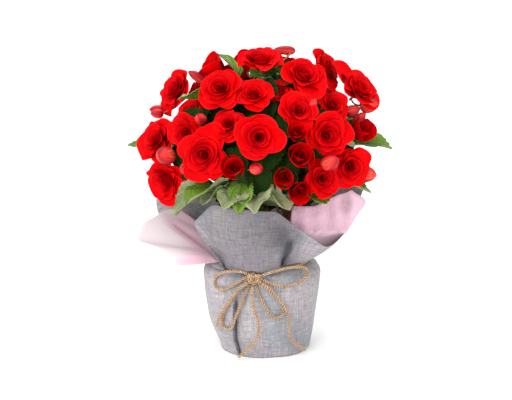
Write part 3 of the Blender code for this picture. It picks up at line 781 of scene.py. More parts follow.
@dataclass(frozen=True)
class TissueFinish(Finish):
    """Thin pink non-woven tissue, coloured by painted shade: pale alone, pink in folds and layers, and dim
    where dark things stand behind; a faint painted glow stands in for the light that comes through it.
    """

    pale: Colour = (0.61, 0.535, 0.555)
    pink: Colour = (0.6, 0.365, 0.45)
    painted_shade_pink: Colour = (0.33, 0.18, 0.228)
    # Painted shade: the dim pink where dark leaves and stalks stand behind the tissue.
    fibre: Colour = (0.74, 0.66, 0.7)
    # Painted light: how strongly the tissue glows in its own colour, for the light that comes through it.
    painted_glow: float = 0.12

    def wire(self, w: Wiring) -> None:
        """Run from pale through pink to dim by the painted shade kept at the sheet's points, speckle it with
        fibres and give it a faint painted glow.

        Args:
            w: the material's wiring.
        """
        place = w.place()
        fibres = w.streaks(place, 420.0, 1100.0)
        drift = w.times(w.minus(w.noise(place, 60.0, 2.0), 0.5), 0.22)
        shade = w.plus(w.shade(), drift)
        colour = w.mix(w.span(shade, 0.0, 0.5), self.pale, self.pink)
        colour = w.mix(w.span(shade, 0.45, 1.0), colour, self.painted_shade_pink)
        colour = w.mix(w.times(fibres.outputs["Mask"], 0.16), colour, self.fibre)
        # Painted light: the tissue glows faintly in its own colour.
        w.feed(w.shader.inputs["Emission Color"], colour)
        w.shader.inputs["Emission Strength"].default_value = self.painted_glow
        w.dress(colour, fibres.outputs["Height"], 0.0003, 0.4)


@dataclass(frozen=True)
class JuteFinish(Finish):
    """Tan jute with fibres running along each ply."""

    tan: Colour = (0.48, 0.305, 0.18)
    pale: Colour = (0.61, 0.44, 0.29)
    brown: Colour = (0.215, 0.108, 0.05)
    # Painted shade: the dark of the grooves between the plies.
    groove: Colour = (0.085, 0.04, 0.018)

    def wire(self, w: Wiring) -> None:
        """Streak the plies, drift their colour and paint shade into the grooves between them.

        Args:
            w: the material's wiring.
        """
        turn, run = w.split(w.surface())
        fibres = w.streaks(w.join(run, turn), 30.0, 9.0)
        mottle = w.mottle(150.0, self.tan, self.pale)
        share = w.times(fibres.outputs["Mask"], 0.55)
        colour = w.mix(share, mottle.outputs["Color"], self.brown)
        # Painted shade in the grooves, by how far down each point lies.
        colour = w.mix(w.times(w.shade(), 0.6), colour, self.groove)
        w.dress(colour, fibres.outputs["Height"], 0.0004, 0.7)


@dataclass(frozen=True)
class EarthFinish(Finish):
    """Crumbly or moulded earth colours, for the soil and the pot."""

    first: Colour = (0.05, 0.03, 0.018)
    second: Colour = (0.016, 0.01, 0.007)
    scale: float = 160.0
    relief: float = 0.0025

    def wire(self, w: Wiring) -> None:
        """Mottle the colour and raise its grain."""
        mottle = w.mottle(self.scale, self.first, self.second)
        w.dress(mottle.outputs["Color"], mottle.outputs["Grain"], self.relief, 0.8)


@dataclass(frozen=True)
class FloorFinish(Finish):
    """A plain pale studio floor."""

    colour: Colour = (0.97, 0.97, 0.97)

    def wire(self, w: Wiring) -> None:
        """Set the plain colour."""
        w.feed(w.shader.inputs["Base Color"], self.colour)


PETAL = PetalFinish("Begonia petal", roughness=0.6, specular=0.03)
BUD = BudFinish("Begonia bud", roughness=0.45, specular=0.25)
LEAF_TOP = LeafFinish("Leaf upper face", roughness=0.42, specular=0.28)
# Painted shade: a far darker copy of the leaf's greens, for the leaves deep inside the dome.
LEAF_IN_PAINTED_SHADE = LeafFinish(
    "Leaf in painted shade", roughness=0.6, specular=0.06,
    first=(0.006, 0.02, 0.003), second=(0.018, 0.048, 0.006), vein=(0.04, 0.1, 0.018), vein_share=0.4,
)
LEAF_UNDER = LeafFinish(
    "Leaf underside", roughness=0.65, specular=0.25,
    first=(0.195, 0.245, 0.105), second=(0.325, 0.35, 0.195), vein=(0.44, 0.445, 0.28), relief=0.0008,
)
STALK = StalkFinish("Begonia stalk", roughness=0.45, specular=0.4)
LINEN = LinenFinish("Grey linen-look cloth", roughness=0.9, specular=0.15, sheen=0.15)
TISSUE = TissueFinish("Pink tissue", roughness=0.75, specular=0.2, sheen=0.2)
JUTE = JuteFinish("Jute twine", roughness=0.9, specular=0.15)
TERRACOTTA = EarthFinish(
    "Terracotta plastic", roughness=0.55, first=(0.36, 0.125, 0.06), second=(0.29, 0.095, 0.045),
    scale=40.0, relief=0.0002,
)
SOIL = EarthFinish("Potting soil", roughness=0.95, specular=0.1)
FLOOR = FloorFinish("Studio floor", roughness=0.9, specular=0.05)


# ---- studio


@dataclass(frozen=True)
class Lamp:
    """A soft square light: its name, its place, the length of its side and its power."""

    name: str
    place: tuple[float, float, float]
    side: float
    power: float


@dataclass
class Studio:
    """The camera, the soft lights and the pale floor."""

    elevation: float = VIEW_ELEVATION
    aim_across: float = -0.007
    aim_up: float = 0.171
    distance: float = 5.0
    lens: float = 297.4
    sensor_width: float = 36.0
    floor_size: float = 14.0
    floor_drop: float = 0.0002
    lit_height: float = 0.17
    world_colour: Colour = (1.0, 1.0, 1.0)
    world_strength: float = 0.92
    lamps: tuple[Lamp, ...] = (
        Lamp("Key", (-0.85, -1.35, 1.15), 1.5, 31.0), Lamp("Fill", (1.25, -1.0, 0.75), 1.2, 8.0),
        Lamp("Top", (0.1, 0.35, 1.6), 0.9, 12.0),
    )

    def build(self) -> None:
        """Set up the camera, then the lights, the world and the floor."""
        bpy.context.scene.view_settings.view_transform = "Standard"
        self.camera()
        for lamp in self.lamps:
            self.light(lamp)
        self.world()
        self.floor()

    def camera(self) -> None:
        """Stand the camera at its viewing angle, far enough off that the plant shows almost square on."""
        scene = bpy.context.scene
        tilt = math.radians(self.elevation)
        towards = Vector((0.0, -math.cos(tilt), math.sin(tilt)))
        view_up = Vector((0.0, math.sin(tilt), math.cos(tilt)))
        aim = Vector((self.aim_across, 0.0, 0.0)) + view_up * self.aim_up
        camera_data = bpy.data.cameras.new("Camera")
        camera_data.lens = self.lens
        camera_data.sensor_width = self.sensor_width
        camera = bpy.data.objects.new("Camera", camera_data)
        camera.location = aim + towards * self.distance
        camera.rotation_euler = (-towards).to_track_quat("-Z", "Y").to_euler()
        scene.collection.objects.link(camera)
        scene.camera = camera

    def world(self) -> None:
        """Light the plant evenly from all round."""
        world = bpy.data.worlds.new("Studio world")
        world.use_nodes = True
        background = world.node_tree.nodes["Background"]
        background.inputs["Color"].default_value = (*self.world_colour, 1.0)
        background.inputs["Strength"].default_value = self.world_strength
        bpy.context.scene.world = world

    def light(self, lamp: Lamp) -> None:
        """Add one soft square light that faces the plant.

        Args:
            lamp: its size, power and place.
        """
        data = bpy.data.lights.new(lamp.name, "AREA")
        data.size = lamp.side
        data.energy = lamp.power
        towards = Vector((0.0, 0.0, self.lit_height)) - Vector(lamp.place)
        stand = bpy.data.objects.new(lamp.name, data)
        stand.location = lamp.place
        stand.rotation_euler = towards.to_track_quat("-Z", "Y").to_euler()
        bpy.context.scene.collection.objects.link(stand)

    def floor(self) -> None:
        """Lay the floor just under the wrap."""
        bm = bmesh.new()
        bmesh.ops.create_grid(bm, x_segments=1, y_segments=1, size=self.floor_size / 2)
        mesh = bpy.data.meshes.new("studio_floor")
        bm.to_mesh(mesh)
        bm.free()
        mesh.materials.append(FLOOR.material())
        floor = bpy.data.objects.new("studio_floor", mesh)
        floor.location.z = CAD_BOX[0][2] - self.floor_drop
        bpy.context.scene.collection.objects.link(floor)


# ---- wrap body, shared by cloth and twine


@dataclass(frozen=True)
class BodyForm:
    """The wrap's body as a turned form: radius and height up its outer face."""

    profile: tuple[tuple[float, float], ...] = (
        (0.0, 0.0), (0.052, 0.0), (0.0562, 0.003), (0.0635, 0.045), (0.068, 0.085), (0.0667, 0.0975),
        (0.059, 0.1056), (0.0525, 0.1078),
    )
    pleat_depth: float = 0.0009

    def radius(self, height: float) -> float:
        """Outer radius at a height, with the shoulder taken as straight up.

        Args:
            height: metres up.

        Returns:
            Metres from the axis.
        """
        reach = 0.0
        for (low_r, low_z), (high_r, high_z) in zip(self.profile, self.profile[1:]):
            if high_z > low_z and height >= low_z:
                share = min(1.0, (height - low_z) / (high_z - low_z))
                reach = max(reach, low_r + (high_r - low_r) * share)
        return reach

    def on_front(self, x: float, z: float, standoff: float) -> Vector:
        """The point in front of the body at this x and z, held off it by the standoff."""
        radius = self.radius(z) + self.pleat_depth + standoff
        return Vector((x, -math.sqrt(radius * radius - x * x), z))


FORM = BodyForm()


# ---- twine


@dataclass(frozen=True)
class Route:
    """One length of the bow, as (x, z) seen from the front, and the angles where it leaves the knot."""

    leaves: float
    returns: Optional[float]
    standoff: float
    points: tuple[tuple[float, float], ...]


LOOP_STANDOFF = 0.003
TAIL_STANDOFF = 0.0072
ROUTES = {
    "twine_loop_upper_right": Route(24, -16, LOOP_STANDOFF, (
        (0.012, 0.113), (0.03, 0.116), (0.046, 0.114), (0.053, 0.107), (0.048, 0.098), (0.03, 0.094),
        (0.012, 0.0985))),
    "twine_loop_upper_left": Route(148, 176, LOOP_STANDOFF, (
        (-0.026, 0.1125), (-0.044, 0.109), (-0.055, 0.098), (-0.053, 0.087), (-0.042, 0.089),
        (-0.028, 0.0995))),
    "twine_loop_lower_left": Route(-154, -124, LOOP_STANDOFF, (
        (-0.025, 0.092), (-0.036, 0.076), (-0.045, 0.056), (-0.046, 0.04), (-0.036, 0.04),
        (-0.03, 0.058), (-0.021, 0.082))),
    "twine_loop_lower_right": Route(-88, -59, LOOP_STANDOFF, (
        (-0.004, 0.088), (0.003, 0.072), (0.013, 0.057), (0.024, 0.059), (0.023, 0.074),
        (0.009, 0.09))),
    "twine_tail_centre": Route(-104, None, TAIL_STANDOFF, (
        (-0.012, 0.086), (-0.009, 0.068), (-0.004, 0.05), (-0.006, 0.032), (-0.016, 0.018),
        (-0.027, 0.005))),
    "twine_tail_right": Route(-34, None, TAIL_STANDOFF, (
        (0.01, 0.093), (0.022, 0.077), (0.03, 0.06), (0.031, 0.045), (0.033, 0.03),
        (0.041, 0.018), (0.05, 0.008))),
    "twine_tail_left": Route(-141, None, TAIL_STANDOFF, (
        (-0.028, 0.092), (-0.037, 0.078), (-0.044, 0.064), (-0.05, 0.052), (-0.053, 0.04))),
}


@dataclass(frozen=True)
class BandForm:
    """The ring of twine that ties the neck, which bulges out behind the knot."""

    height: float = 0.1106
    radius: float = 0.056
    bulge: float = 0.0076
    bulge_width: float = 16.0
    knot_bearing: float = -7.0

    def reach(self, bearing: float) -> float:
        """The ring's radius at a bearing."""
        return self.radius + self.bulge * hump(turn_between(bearing, self.knot_bearing), 0, self.bulge_width)


BAND = BandForm()


@dataclass
class Twine:
    """Jute twine of two plies: a band, a knot and a bow of loops and tails."""

    radius: float = 0.0018
    ply_radius: float = 0.00102
    ply_offset: float = 0.00094
    pitch: float = 0.007
    step: float = 0.0008
    band_steps: int = 440
    knot_radius: float = 0.0705
    knot_z: float = 0.1062
    knot_size: tuple[float, float, float] = (0.0075, 0.005, 0.0062)
    knot_steps: int = 120
    gap: float = 0.0003
    hairs_per_metre: float = 900.0
    hair_radius: float = 0.00006
    hair_length: Span = (0.001, 0.0028)
    hair_lean: float = 1.6
    hair_root: float = 0.7
    frayed_fibres: int = 22
    frayed_radius: float = 0.00012
    frayed_length: Span = (0.0025, 0.0062)
    frayed_spread: float = 0.28
    frayed_width: float = 0.0016
    frayed_depth: float = 0.0012
    lowest_fibre: float = 0.0004

    def knot_centre(self) -> Vector:
        """The middle of the knot."""
        return around(BAND.knot_bearing, self.knot_radius, self.knot_z)

    def knot_point(self, angle: float, standoff: float) -> Vector:
        """A point just outside the knot, at an angle round it as seen from the front.

        Args:
            angle: degrees, anticlockwise from the right.
            standoff: metres off the body.

        Returns:
            The point.
        """
        turn = math.radians(angle)
        centre = self.knot_centre()
        x = centre.x + (self.knot_size[0] + self.radius + self.gap) * math.cos(turn)
        z = centre.z + (self.knot_size[2] + self.radius + self.gap) * math.sin(turn)
        return FORM.on_front(x, z, standoff)

    def line(self, route: Route) -> list[Vector]:
        """The middle line of one length of the bow.

        Args:
            route: the length's route.

        Returns:
            The points of the line.
        """
        points = [self.knot_point(route.leaves, route.standoff)]
        points += [FORM.on_front(x, z, route.standoff) for x, z in route.points]
        if route.returns is not None:
            points.append(self.knot_point(route.returns, route.standoff))
        return smooth_route(points, self.step)

    def plies(self, shaper: Shaper, line: Sequence[Vector], closed: bool = False) -> None:
        """Lay two plies twisted round each other.

        Args:
            shaper: the mesh that takes them.
            line: the twine's middle line.
            closed: whether the line ends where it starts.
        """
        frames = list(carried_frames(line))
        last = len(line) - 1
        length = route_length(line)
        twists = max(1, round(length / self.pitch))
        for ply in range(2):

            def place(turn: float, share: float, ply: int = ply) -> Vector:
                """A point of one ply's skin.

                Args:
                    turn: 0 to 1 round it.
                    share: 0 to 1 along it.
                    ply: 0 or 1.

                Returns:
                    The point.
                """
                k = min(last, round(share * last))
                middle, _, first, second = frames[k]
                swing = math.tau * twists * k / last + math.pi * ply
                waver = 1 + 0.1 * noise.noise(middle * 420 + Vector((0, 0, ply * 5)))
                reach = self.ply_radius * waver
                if not closed:
                    reach *= math.sqrt(max(0.0, 1 - max(0.0, 1 - min(k, last - k) / 2) ** 2))
                angle = math.tau * turn
                heart = (first * math.cos(swing) + second * math.sin(swing)) * self.ply_offset
                return middle + heart + (first * math.cos(angle) + second * math.sin(angle)) * reach

            def inward(turn: float, share: float, ply: int = ply) -> float:
                """How far a point of the skin is down in the groove, from 0 to 1, which sets the jute's
                painted shade.
                """
                swing = twists * round(share * last) / last + ply / 2
                return 1 - ease(-0.55, 0.45, math.cos(math.tau * (turn - swing)))

            before = set(shaper.bm.verts)
            shaper.roll(8, last, place, shade=inward)
            made = [vertex for vertex in shaper.bm.verts if vertex not in before]
            faces = {face for vertex in made for face in vertex.link_faces}
            for face in faces:
                for loop in face.loops:
                    loop[shaper.uv].uv.y *= length * 10
            bmesh.ops.recalc_face_normals(shaper.bm, faces=list(faces))

    def fuzz(self, shaper: Shaper, line: Sequence[Vector], seed: int) -> None:
        """Raise short fibres from the twine's skin.

        Args:
            shaper: the mesh that takes it.
            line: its middle line.
            seed: starts its draw.
        """
        draw = random.Random(seed)
        frames = list(carried_frames(line))
        for _ in range(round(route_length(line) * self.hairs_per_metre)):
            middle, ahead, first, second = draw.choice(frames)
            angle = draw.uniform(0, math.tau)
            out = first * math.cos(angle) + second * math.sin(angle)
            foot = middle + out * self.radius * self.hair_root
            lean = ahead * draw.uniform(-self.hair_lean, self.hair_lean)
            tip = foot + (out + lean).normalized() * draw.uniform(*self.hair_length)
            shaper.hair(foot, tip, self.hair_radius)

    def fray(self, shaper: Shaper, line: Sequence[Vector], seed: int) -> None:
        """Splay the fibres of a cut end.

        Args:
            shaper: the mesh that takes it.
            line: its middle line.
            seed: starts its draw.
        """
        draw = random.Random(seed)
        end = line[-1]
        ahead = (line[-1] - line[-4]).normalized()
        for _ in range(self.frayed_fibres):
            away = Vector((draw.gauss(0, 1), draw.gauss(0, 0.5), draw.gauss(0, 1))) * self.frayed_spread
            foot = end - ahead * self.frayed_depth + away * self.frayed_width
            tip = foot + (ahead + away).normalized() * draw.uniform(*self.frayed_length)
            tip.z = max(tip.z, self.lowest_fibre)
            shaper.hair(foot, tip, self.frayed_radius)

    def build(self) -> None:
        """Build the bow's free lengths first, then the band and the knot."""
        jute = [JUTE.material()]
        for seed, (name, route) in enumerate(ROUTES.items()):
            line = self.line(route)
            end = FarEnd.CUT if route.returns is None else FarEnd.BACK_IN_KNOT
            fibres = Shaper()
            self.fuzz(fibres, line, seed)
            if end is FarEnd.CUT:
                self.fray(fibres, line, seed + 50)
            fluff = bring_in(f"{name}_fibres", fibres, jute, Slot.TWINE)
            shaper = Shaper()
            self.plies(shaper, line)
            piece = bring_in(f"{name}_jute", shaper, jute, Slot.TWINE, [name])
            tuple(line[0])
            route_length(line)
            [tuple(point) for point in line]
        self.build_band(jute)
        self.build_knot(jute)

    def build_band(self, jute: Sequence[Material]) -> None:
        """Build the band that ties the neck.

        Args:
            jute: its material slots.
        """
        line = []
        for k in range(self.band_steps + 1):
            bearing = 360 * (k % self.band_steps) / self.band_steps + BAND.knot_bearing
            line.append(around(bearing, BAND.reach(bearing), BAND.height))
        shaper = Shaper()
        self.plies(shaper, line, closed=True)
        self.fuzz(shaper, line, 21)
        bring_in("twine_band_jute", shaper, jute, Slot.TWINE, ["twine_band"])

    def build_knot(self, jute: Sequence[Material]) -> None:
        """Build the knot from a crossing loop of twine and a short lead to each free length.

        Args:
            jute: its material slots.
        """
        centre = self.knot_centre()
        turn = Matrix.Rotation(math.radians(BAND.knot_bearing), 4, "Z")
        wide, deep, tall = (size - self.radius for size in self.knot_size)
        line = []
        for k in range(self.knot_steps + 1):
            t = math.tau * k / self.knot_steps
            x = wide * (math.sin(t) + 2 * math.sin(2 * t)) / 3
            z = tall * (math.cos(t) - 2 * math.cos(2 * t)) / 3
            line.append(centre + turn @ Vector((x, deep * math.sin(3 * t), z)))
        shaper = Shaper()
        self.plies(shaper, line)
        self.fuzz(shaper, line, 31)
        for route in ROUTES.values():
            for angle in (route.leaves, route.returns):
                if angle is None:
                    continue
                outer = self.knot_point(angle, route.standoff)
                inner = centre.lerp(outer, 0.25) + Vector((0, -0.002, 0))
                self.plies(shaper, smooth_route([inner, inner.lerp(outer, 0.5), outer], self.step))
        bring_in("twine_knot_jute", shaper, jute, Slot.TWINE, ["twine_knot"])


# ---- cloth and tissue


@dataclass(frozen=True)
class Edge:
    """A place on a flared sheet: bearing at the neck and at the edge, the edge's radius and height, and how
    early the sheet goes out and up."""

    neck: float
    rim: float
    radius: float
    height: float
    out: float = 1.25
    up: float = 0.92

    def toward(self, other: "Edge", share: float) -> "Edge":
        """The edge values at a share of the way to another."""
        return Edge(*(a + (b - a) * share for a, b in zip(astuple(self), astuple(other))))

    def turned(self, angle: float) -> "Edge":
        """The same edge turned round the axis."""
        return replace(self, neck=self.neck + angle, rim=self.rim + angle)


@dataclass(frozen=True)
class Flare:
    """How a sheet runs from the tied neck out to its edge."""

    neck_radius: float
    neck_z: float

    def point(self, edge: Edge, share: float) -> tuple[float, float, float]:
        """Bearing, radius and height from the neck (share 0) to the edge (share 1).

        Args:
            edge: where it ends.
            share: 0 at the neck to 1 at the edge.

        Returns:
            The three values.
        """
        bearing = edge.neck + (edge.rim - edge.neck) * share
        radius = self.neck_radius + (edge.radius - self.neck_radius) * share ** edge.out
        height = self.neck_z + (edge.height - self.neck_z) * share ** edge.up
        return bearing, radius, height


def dense_edges(edges: Sequence[Edge], count: int, closed: bool, passes: int) -> list[Edge]:
    """Edges spaced evenly between the listed ones, with the corners eased.

    Args:
        edges: the listed places in order of bearing.
        count: how many to give between the first and the last.
        closed: whether the last listed place is followed by the first.
        passes: how often the corners are eased.

    Returns:
        count edges where closed, and count + 1 where not.
    """
    listed = list(edges)
    if closed:
        listed.append(listed[0].turned(360))
    dense = []
    for k in range(count + 1):
        bearing = listed[0].neck + (listed[-1].neck - listed[0].neck) * k / count
        for low, high in zip(listed, listed[1:]):
            inside = (bearing - low.neck) * (bearing - high.neck) <= 0
            if inside:
                dense.append(low.toward(high, (bearing - low.neck) / (high.neck - low.neck)))
                break
    if closed:
        dense = dense[:-1]
    for _ in range(passes):
        before, after = (dense[-1].turned(-360), dense[0].turned(360)) if closed else (dense[0], dense[-1])
        ring = [before, *dense, after]
        eased = [
            edge.toward(low.toward(high, 0.5), 0.5) for low, edge, high in zip(ring, dense, ring[2:])
        ]
        dense = eased if closed else [dense[0], *eased[1:-1], dense[-1]]
    return dense


@dataclass(frozen=True)
class Crease:
    """The deep fold at the right of the bow, shared by cloth and tissue: gentle first and then sudden."""

    bearing: float = 26.5
    depth: float = 0.0115
    gentle: float = 6.0
    sudden: float = 1.5
    starts: Span = (-0.04, 0.05)
    ends: Span = (0.22, 0.64)

    def move(self, bearing: float, share: float) -> float:
        """How far the fold moves a sheet in at a bearing and a share of its run.

        Args:
            bearing: degrees from the front.
            share: 0 to 1 along it.

        Returns:
            Metres, below 0 for inward.
        """
        away = turn_between(bearing, self.bearing)
        width = self.gentle if away < 0 else self.sudden
        return -self.depth * hump(away, 0, width) * plateau(share, self.starts, self.ends)


CREASE = Crease()


@dataclass(frozen=True)
class Swell:
    """A rounded rise in the body: how far it stands out, its middle and width round and up, its ripple."""

    move: float
    bearing: float
    width: float
    height: float
    tall: float
    ripple: float = 0.0


@dataclass
class Wrap:
    """The grey cloth: a cup round the pot, a tied neck and a flared collar."""

    columns: int = 288
    collar_rows: int = 44
    body_girth: float = 0.42
    flare_girth: float = 0.11
    threads_up: float = 0.95
    threads_out: float = 0.55
    threads_lean: float = 0.16
    threads_skew: float = 0.1
    thickness: float = 0.0007
    neck_radius: float = 0.052
    neck_top_z: float = 0.114
    neck_steps: Span = (0.1095, 0.1118)
    body_step: float = 0.0026
    gather: float = 0.0011
    gather_waves: tuple[tuple[float, int, float], ...] = ((0.55, 23, 0.6), (0.45, 37, 2.1))
    swells: tuple[Swell, ...] = (
        Swell(0.0019, 66, 26, 0.098, 0.014, 0.52), Swell(0.0026, -62, 34, 0.1005, 0.0075),
    )
    tucks: tuple[tuple[float, float, float, float], ...] = ((0.0078, -80, 44, 0.042), (0.008, -8, 46, 0.03))
    pleat_bearings: Span = (-34.3, 85.0)
    pleat_rise: Span = (0.0024, 24.0)
    pleat_drop: Span = (0.0032, 6.5)
    pleat_top: Span = (0.07, 0.086)
    pot_clearance: Span = (0.0462, 0.155)
    pot_clearance_top: float = 0.085
    band_clearance: float = 0.0026
    sag_starts: float = 0.0022
    sag_ends: Span = (0.004, 0.0095)
    sag_height: float = 0.11
    sag_over_knot: Span = (0.0036, 8.0)
    sag_front: tuple[Span, Span] = ((-52.0, -44.0), (18.0, 25.0))
    flap_radius: float = 0.0585
    sheet_side: float = 0.4
    sheet_area: float = 0.092
    edges: tuple[Edge, ...] = (
        Edge(-180, -180, 0.1, 0.158), Edge(-150, -150, 0.116, 0.168), Edge(-122, -120, 0.144, 0.165),
        Edge(-100, -104, 0.118, 0.143), Edge(-80, -80, 0.0655, 0.11), Edge(-46, -38, 0.0665, 0.1088, 0.8),
        Edge(-38, -60, 0.096, 0.164, 0.95, 1.05), Edge(-24, -40, 0.092, 0.195, 0.55, 1.45),
        Edge(-6, -14, 0.083, 0.193, 0.45, 1.5), Edge(12, 12, 0.083, 0.189, 0.5, 1.5),
        Edge(27, 29, 0.087, 0.168, 0.7, 1.4), Edge(42, 48, 0.097, 0.141, 0.8, 1.5),
        Edge(84, 90, 0.103, 0.146, 0.8, 1.5), Edge(96, 100, 0.108, 0.157, 1.00, 1.3),
        Edge(110, 115, 0.142, 0.206, 1.1, 1.00), Edge(140, 142, 0.118, 0.176),
    )

    def sagged(self, bearing: float, radius: float, height: float) -> float:
        """The flap's height where it sags over the band in front, higher over the knot.

        Args:
            bearing: degrees from the front.
            radius: metres from the axis.
            height: metres up.

        Returns:
            Metres up.
        """
        band = BAND.reach(bearing) + self.band_clearance
        last = (band + self.sag_ends[0], band + self.sag_ends[1])
        over = plateau(radius, (band, band + self.sag_starts), last)
        rise, width = self.sag_over_knot
        low = self.sag_height + rise * hump(bearing, BAND.knot_bearing, width)
        return height + min(0.0, low - height) * over * plateau(bearing, *self.sag_front)

    def collar_height(self, bearing: float, radius: float) -> float:
        """The collar's height at a bearing and radius, on its right side.

        Args:
            bearing: degrees from the front.
            radius: metres from the axis.

        Returns:
            Metres up, or 0 outside the listed edges.
        """
        for low, high in zip(self.edges, self.edges[1:]):
            if low.rim <= bearing <= high.rim:
                edge = low.toward(high, (bearing - low.rim) / (high.rim - low.rim))
                share = max(0.0, (radius - self.neck_radius) / (edge.radius - self.neck_radius))
                share = min(1.0, share ** (1 / edge.out))
                return self.neck_top_z + (edge.height - self.neck_top_z) * share ** edge.up
        return 0.0

    def body_line(self) -> list[tuple[float, float]]:
        """Radius and height up the body, close together.

        Returns:
            A radius and a height for each row.
        """
        knots = [Vector((radius, 0.0, height)) for radius, height in FORM.profile[1:]]
        line = [(0.0, 0.0)] + [(FORM.profile[1][0] * share, 0.0) for share in (0.3, 0.6, 0.9)]
        line += [(point.x, max(0.0, point.z)) for point in smooth_route(knots, self.body_step)]
        line += [(self.neck_radius, height) for height in self.neck_steps]
        return line

    def gathers(self, bearing: float) -> float:
        """Uneven folds round the neck, from about -1 to 1.

        Args:
            bearing: degrees from the front.

        Returns:
            The folds' height, without a unit.
        """
        turn = math.radians(bearing)
        even = sum(size * math.cos(count * turn + phase) for size, count, phase in self.gather_waves)
        return even + 0.3 * noise.noise(Vector((math.sin(turn), math.cos(turn), 0.3)) * 9)

    def body_relief(self, bearing: float, height: float) -> float:
        """How far folds move the body's face out at a bearing and a height.

        Args:
            bearing: degrees from the front.
            height: metres up.

        Returns:
            Metres out.
        """
        move = self.gather * self.gathers(bearing) * ease(0.07, 0.104, height)
        for rise in self.swells:
            away = turn_between(bearing, rise.bearing)
            out = rise.move * math.cos(away * rise.ripple) * hump(away, 0, rise.width)
            move += out * hump(height, rise.height, rise.tall)
        step = turn_between(bearing, self.pleat(height))
        low = 1 - ease(*self.pleat_top, height)
        if step < 0:
            move += self.pleat_rise[0] * low * math.exp(step / self.pleat_rise[1])
        else:
            move -= self.pleat_drop[0] * low * math.exp(-step / self.pleat_drop[1])
        for depth, centre, width, top in self.tucks:
            move -= depth * hump(turn_between(bearing, centre), 0, width) * (1 - ease(0.0, top, height))
        move = max(move, self.tightest(height) - FORM.radius(height))
        move += 0.0006 * noise.noise(around(bearing, 0.07, height) * 34)
        return move

    def pleat(self, height: float) -> float:
        """The bearing of the body's front pleat at a height."""
        return self.pleat_bearings[0] + self.pleat_bearings[1] * height

    def tightest(self, height: float) -> float:
        """The smallest outer radius that still clears the pot inside."""
        return self.pot_clearance[0] + self.pot_clearance[1] * min(height, self.pot_clearance_top)

    def painted_shade(self, vertex: Vector) -> float:
        """How much painted shade darkens the cloth at a point.

        Args:
            vertex: the point.

        Returns:
            A shade from 0 to 1.
        """
        bearing = math.degrees(math.atan2(vertex.x, -vertex.y))
        radius = math.hypot(vertex.x, vertex.y)
        flared = vertex.z > self.neck_top_z or (vertex.z > BAND.height - 0.0006 and radius > self.flap_radius)
        if flared:
            return self.collar_painted_shade(bearing, seen_up(vertex))
        return self.body_painted_shade(bearing, vertex)

    def collar_painted_shade(self, bearing: float, up: float) -> float:
        """How much painted shade darkens the collar: over the front flap, a little on its right side and,
        most of all, in and beside its crease.

        Args:
            bearing: degrees from the front.
            up: the height that seen_up gives.

        Returns:
            A shade from 0 to 1.
        """
        dark = plateau(bearing, (-66, -44), (27, 40))
        dark *= 0.48 + 0.2 * hump(bearing, 0, 24) * hump(up, 0.14, 0.032)
        dark += 0.2 * plateau(bearing, (27, 40), (86, 100))
        away = bearing - 26.0
        dark += 0.8 * hump(away, 0, 5.0 if away < 0 else 1.2) * (1 - ease(0.11, 0.13, up))
        dark += 0.28 * hump(away, -8, 10) * hump(up, 0.128, 0.017)
        return min(dark, 0.98)

    def body_painted_shade(self, bearing: float, vertex: Vector) -> float:
        """How much painted shade darkens the body: the pleat's shadow, shade under the collar and a little
        more to the right, away from the key light.

        Args:
            bearing: degrees from the front.
            vertex: the point.

        Returns:
            A shade from 0 to 1.
        """
        step = turn_between(bearing, self.pleat(vertex.z))
        dark = 0.8 * hump(step, 0.6, 1.5) + (0.42 * math.exp(-step / 7) if step > 0 else 0.0)
        dark *= 1 - ease(0.068, 0.084, vertex.z)
        dark += 0.1 * ease(0.09, 0.103, vertex.z) + 0.12 * ease(0.01, 0.055, vertex.x)
        return min(dark, 0.95)

    def collar_relief(self, bearing: float, share: float) -> float:
        """How far folds move the collar out at a bearing and a share of its run.

        Args:
            bearing: degrees from the front.
            share: 0 to 1 along it.

        Returns:
            Metres out.
        """
        move = self.gather * self.gathers(bearing) * (1 - ease(0.0, 0.42, share))
        move += CREASE.move(bearing, share)
        move += 0.0022 * math.cos(math.radians(bearing * 7 + 40)) * ease(0.2, 1.0, share)
        move += 0.0025 * noise.noise(around(bearing, 0.1, share * 0.06) * 20) * ease(0.1, 0.6, share)
        return move

    def build(self) -> None:
        """Build the cloth as one sheet from under the pot to the collar's edge."""
        body = self.body_line()
        flare = Flare(self.neck_radius, self.neck_top_z)
        edges = dense_edges(self.edges, self.columns, True, 3)
        rows = len(body) + self.collar_rows

        def place(turn: float, up: float) -> Vector:
            """A point of the cloth's outer face.

            Args:
                turn: 0 to 1 round it.
                up: 0 to 1 up it.

            Returns:
                The point.
            """
            edge = edges[round(turn * self.columns) % self.columns]
            row = round(up * rows)
            if row < len(body):
                radius, height = body[row]
                relief = self.body_relief(edge.neck, height) * min(1.0, radius / 0.05)
                if height <= 0.0:
                    relief = min(0.0, relief)
                return around(edge.neck, radius + relief, height)
            share = (row - len(body)) / self.collar_rows
            bearing, radius, height = flare.point(edge, share)
            height = self.sagged(edge.neck, radius, height)
            return around(bearing, radius + self.collar_relief(edge.neck, share), height)

        shaper = Shaper()
        shaper.roll(self.columns, rows, place)
        # Paint shade into the cloth: each point keeps how much its colour darkens.
        for vertex in shaper.bm.verts:
            vertex[shaper.shade] = self.painted_shade(vertex.co)
        self.map_threads(shaper, body, rows)
        piece = bring_in("wrap_cloth", shaper, [LINEN.material()], Slot.LINEN, ["wrap_grey"])
        thicken(piece, self.thickness, -1.0)

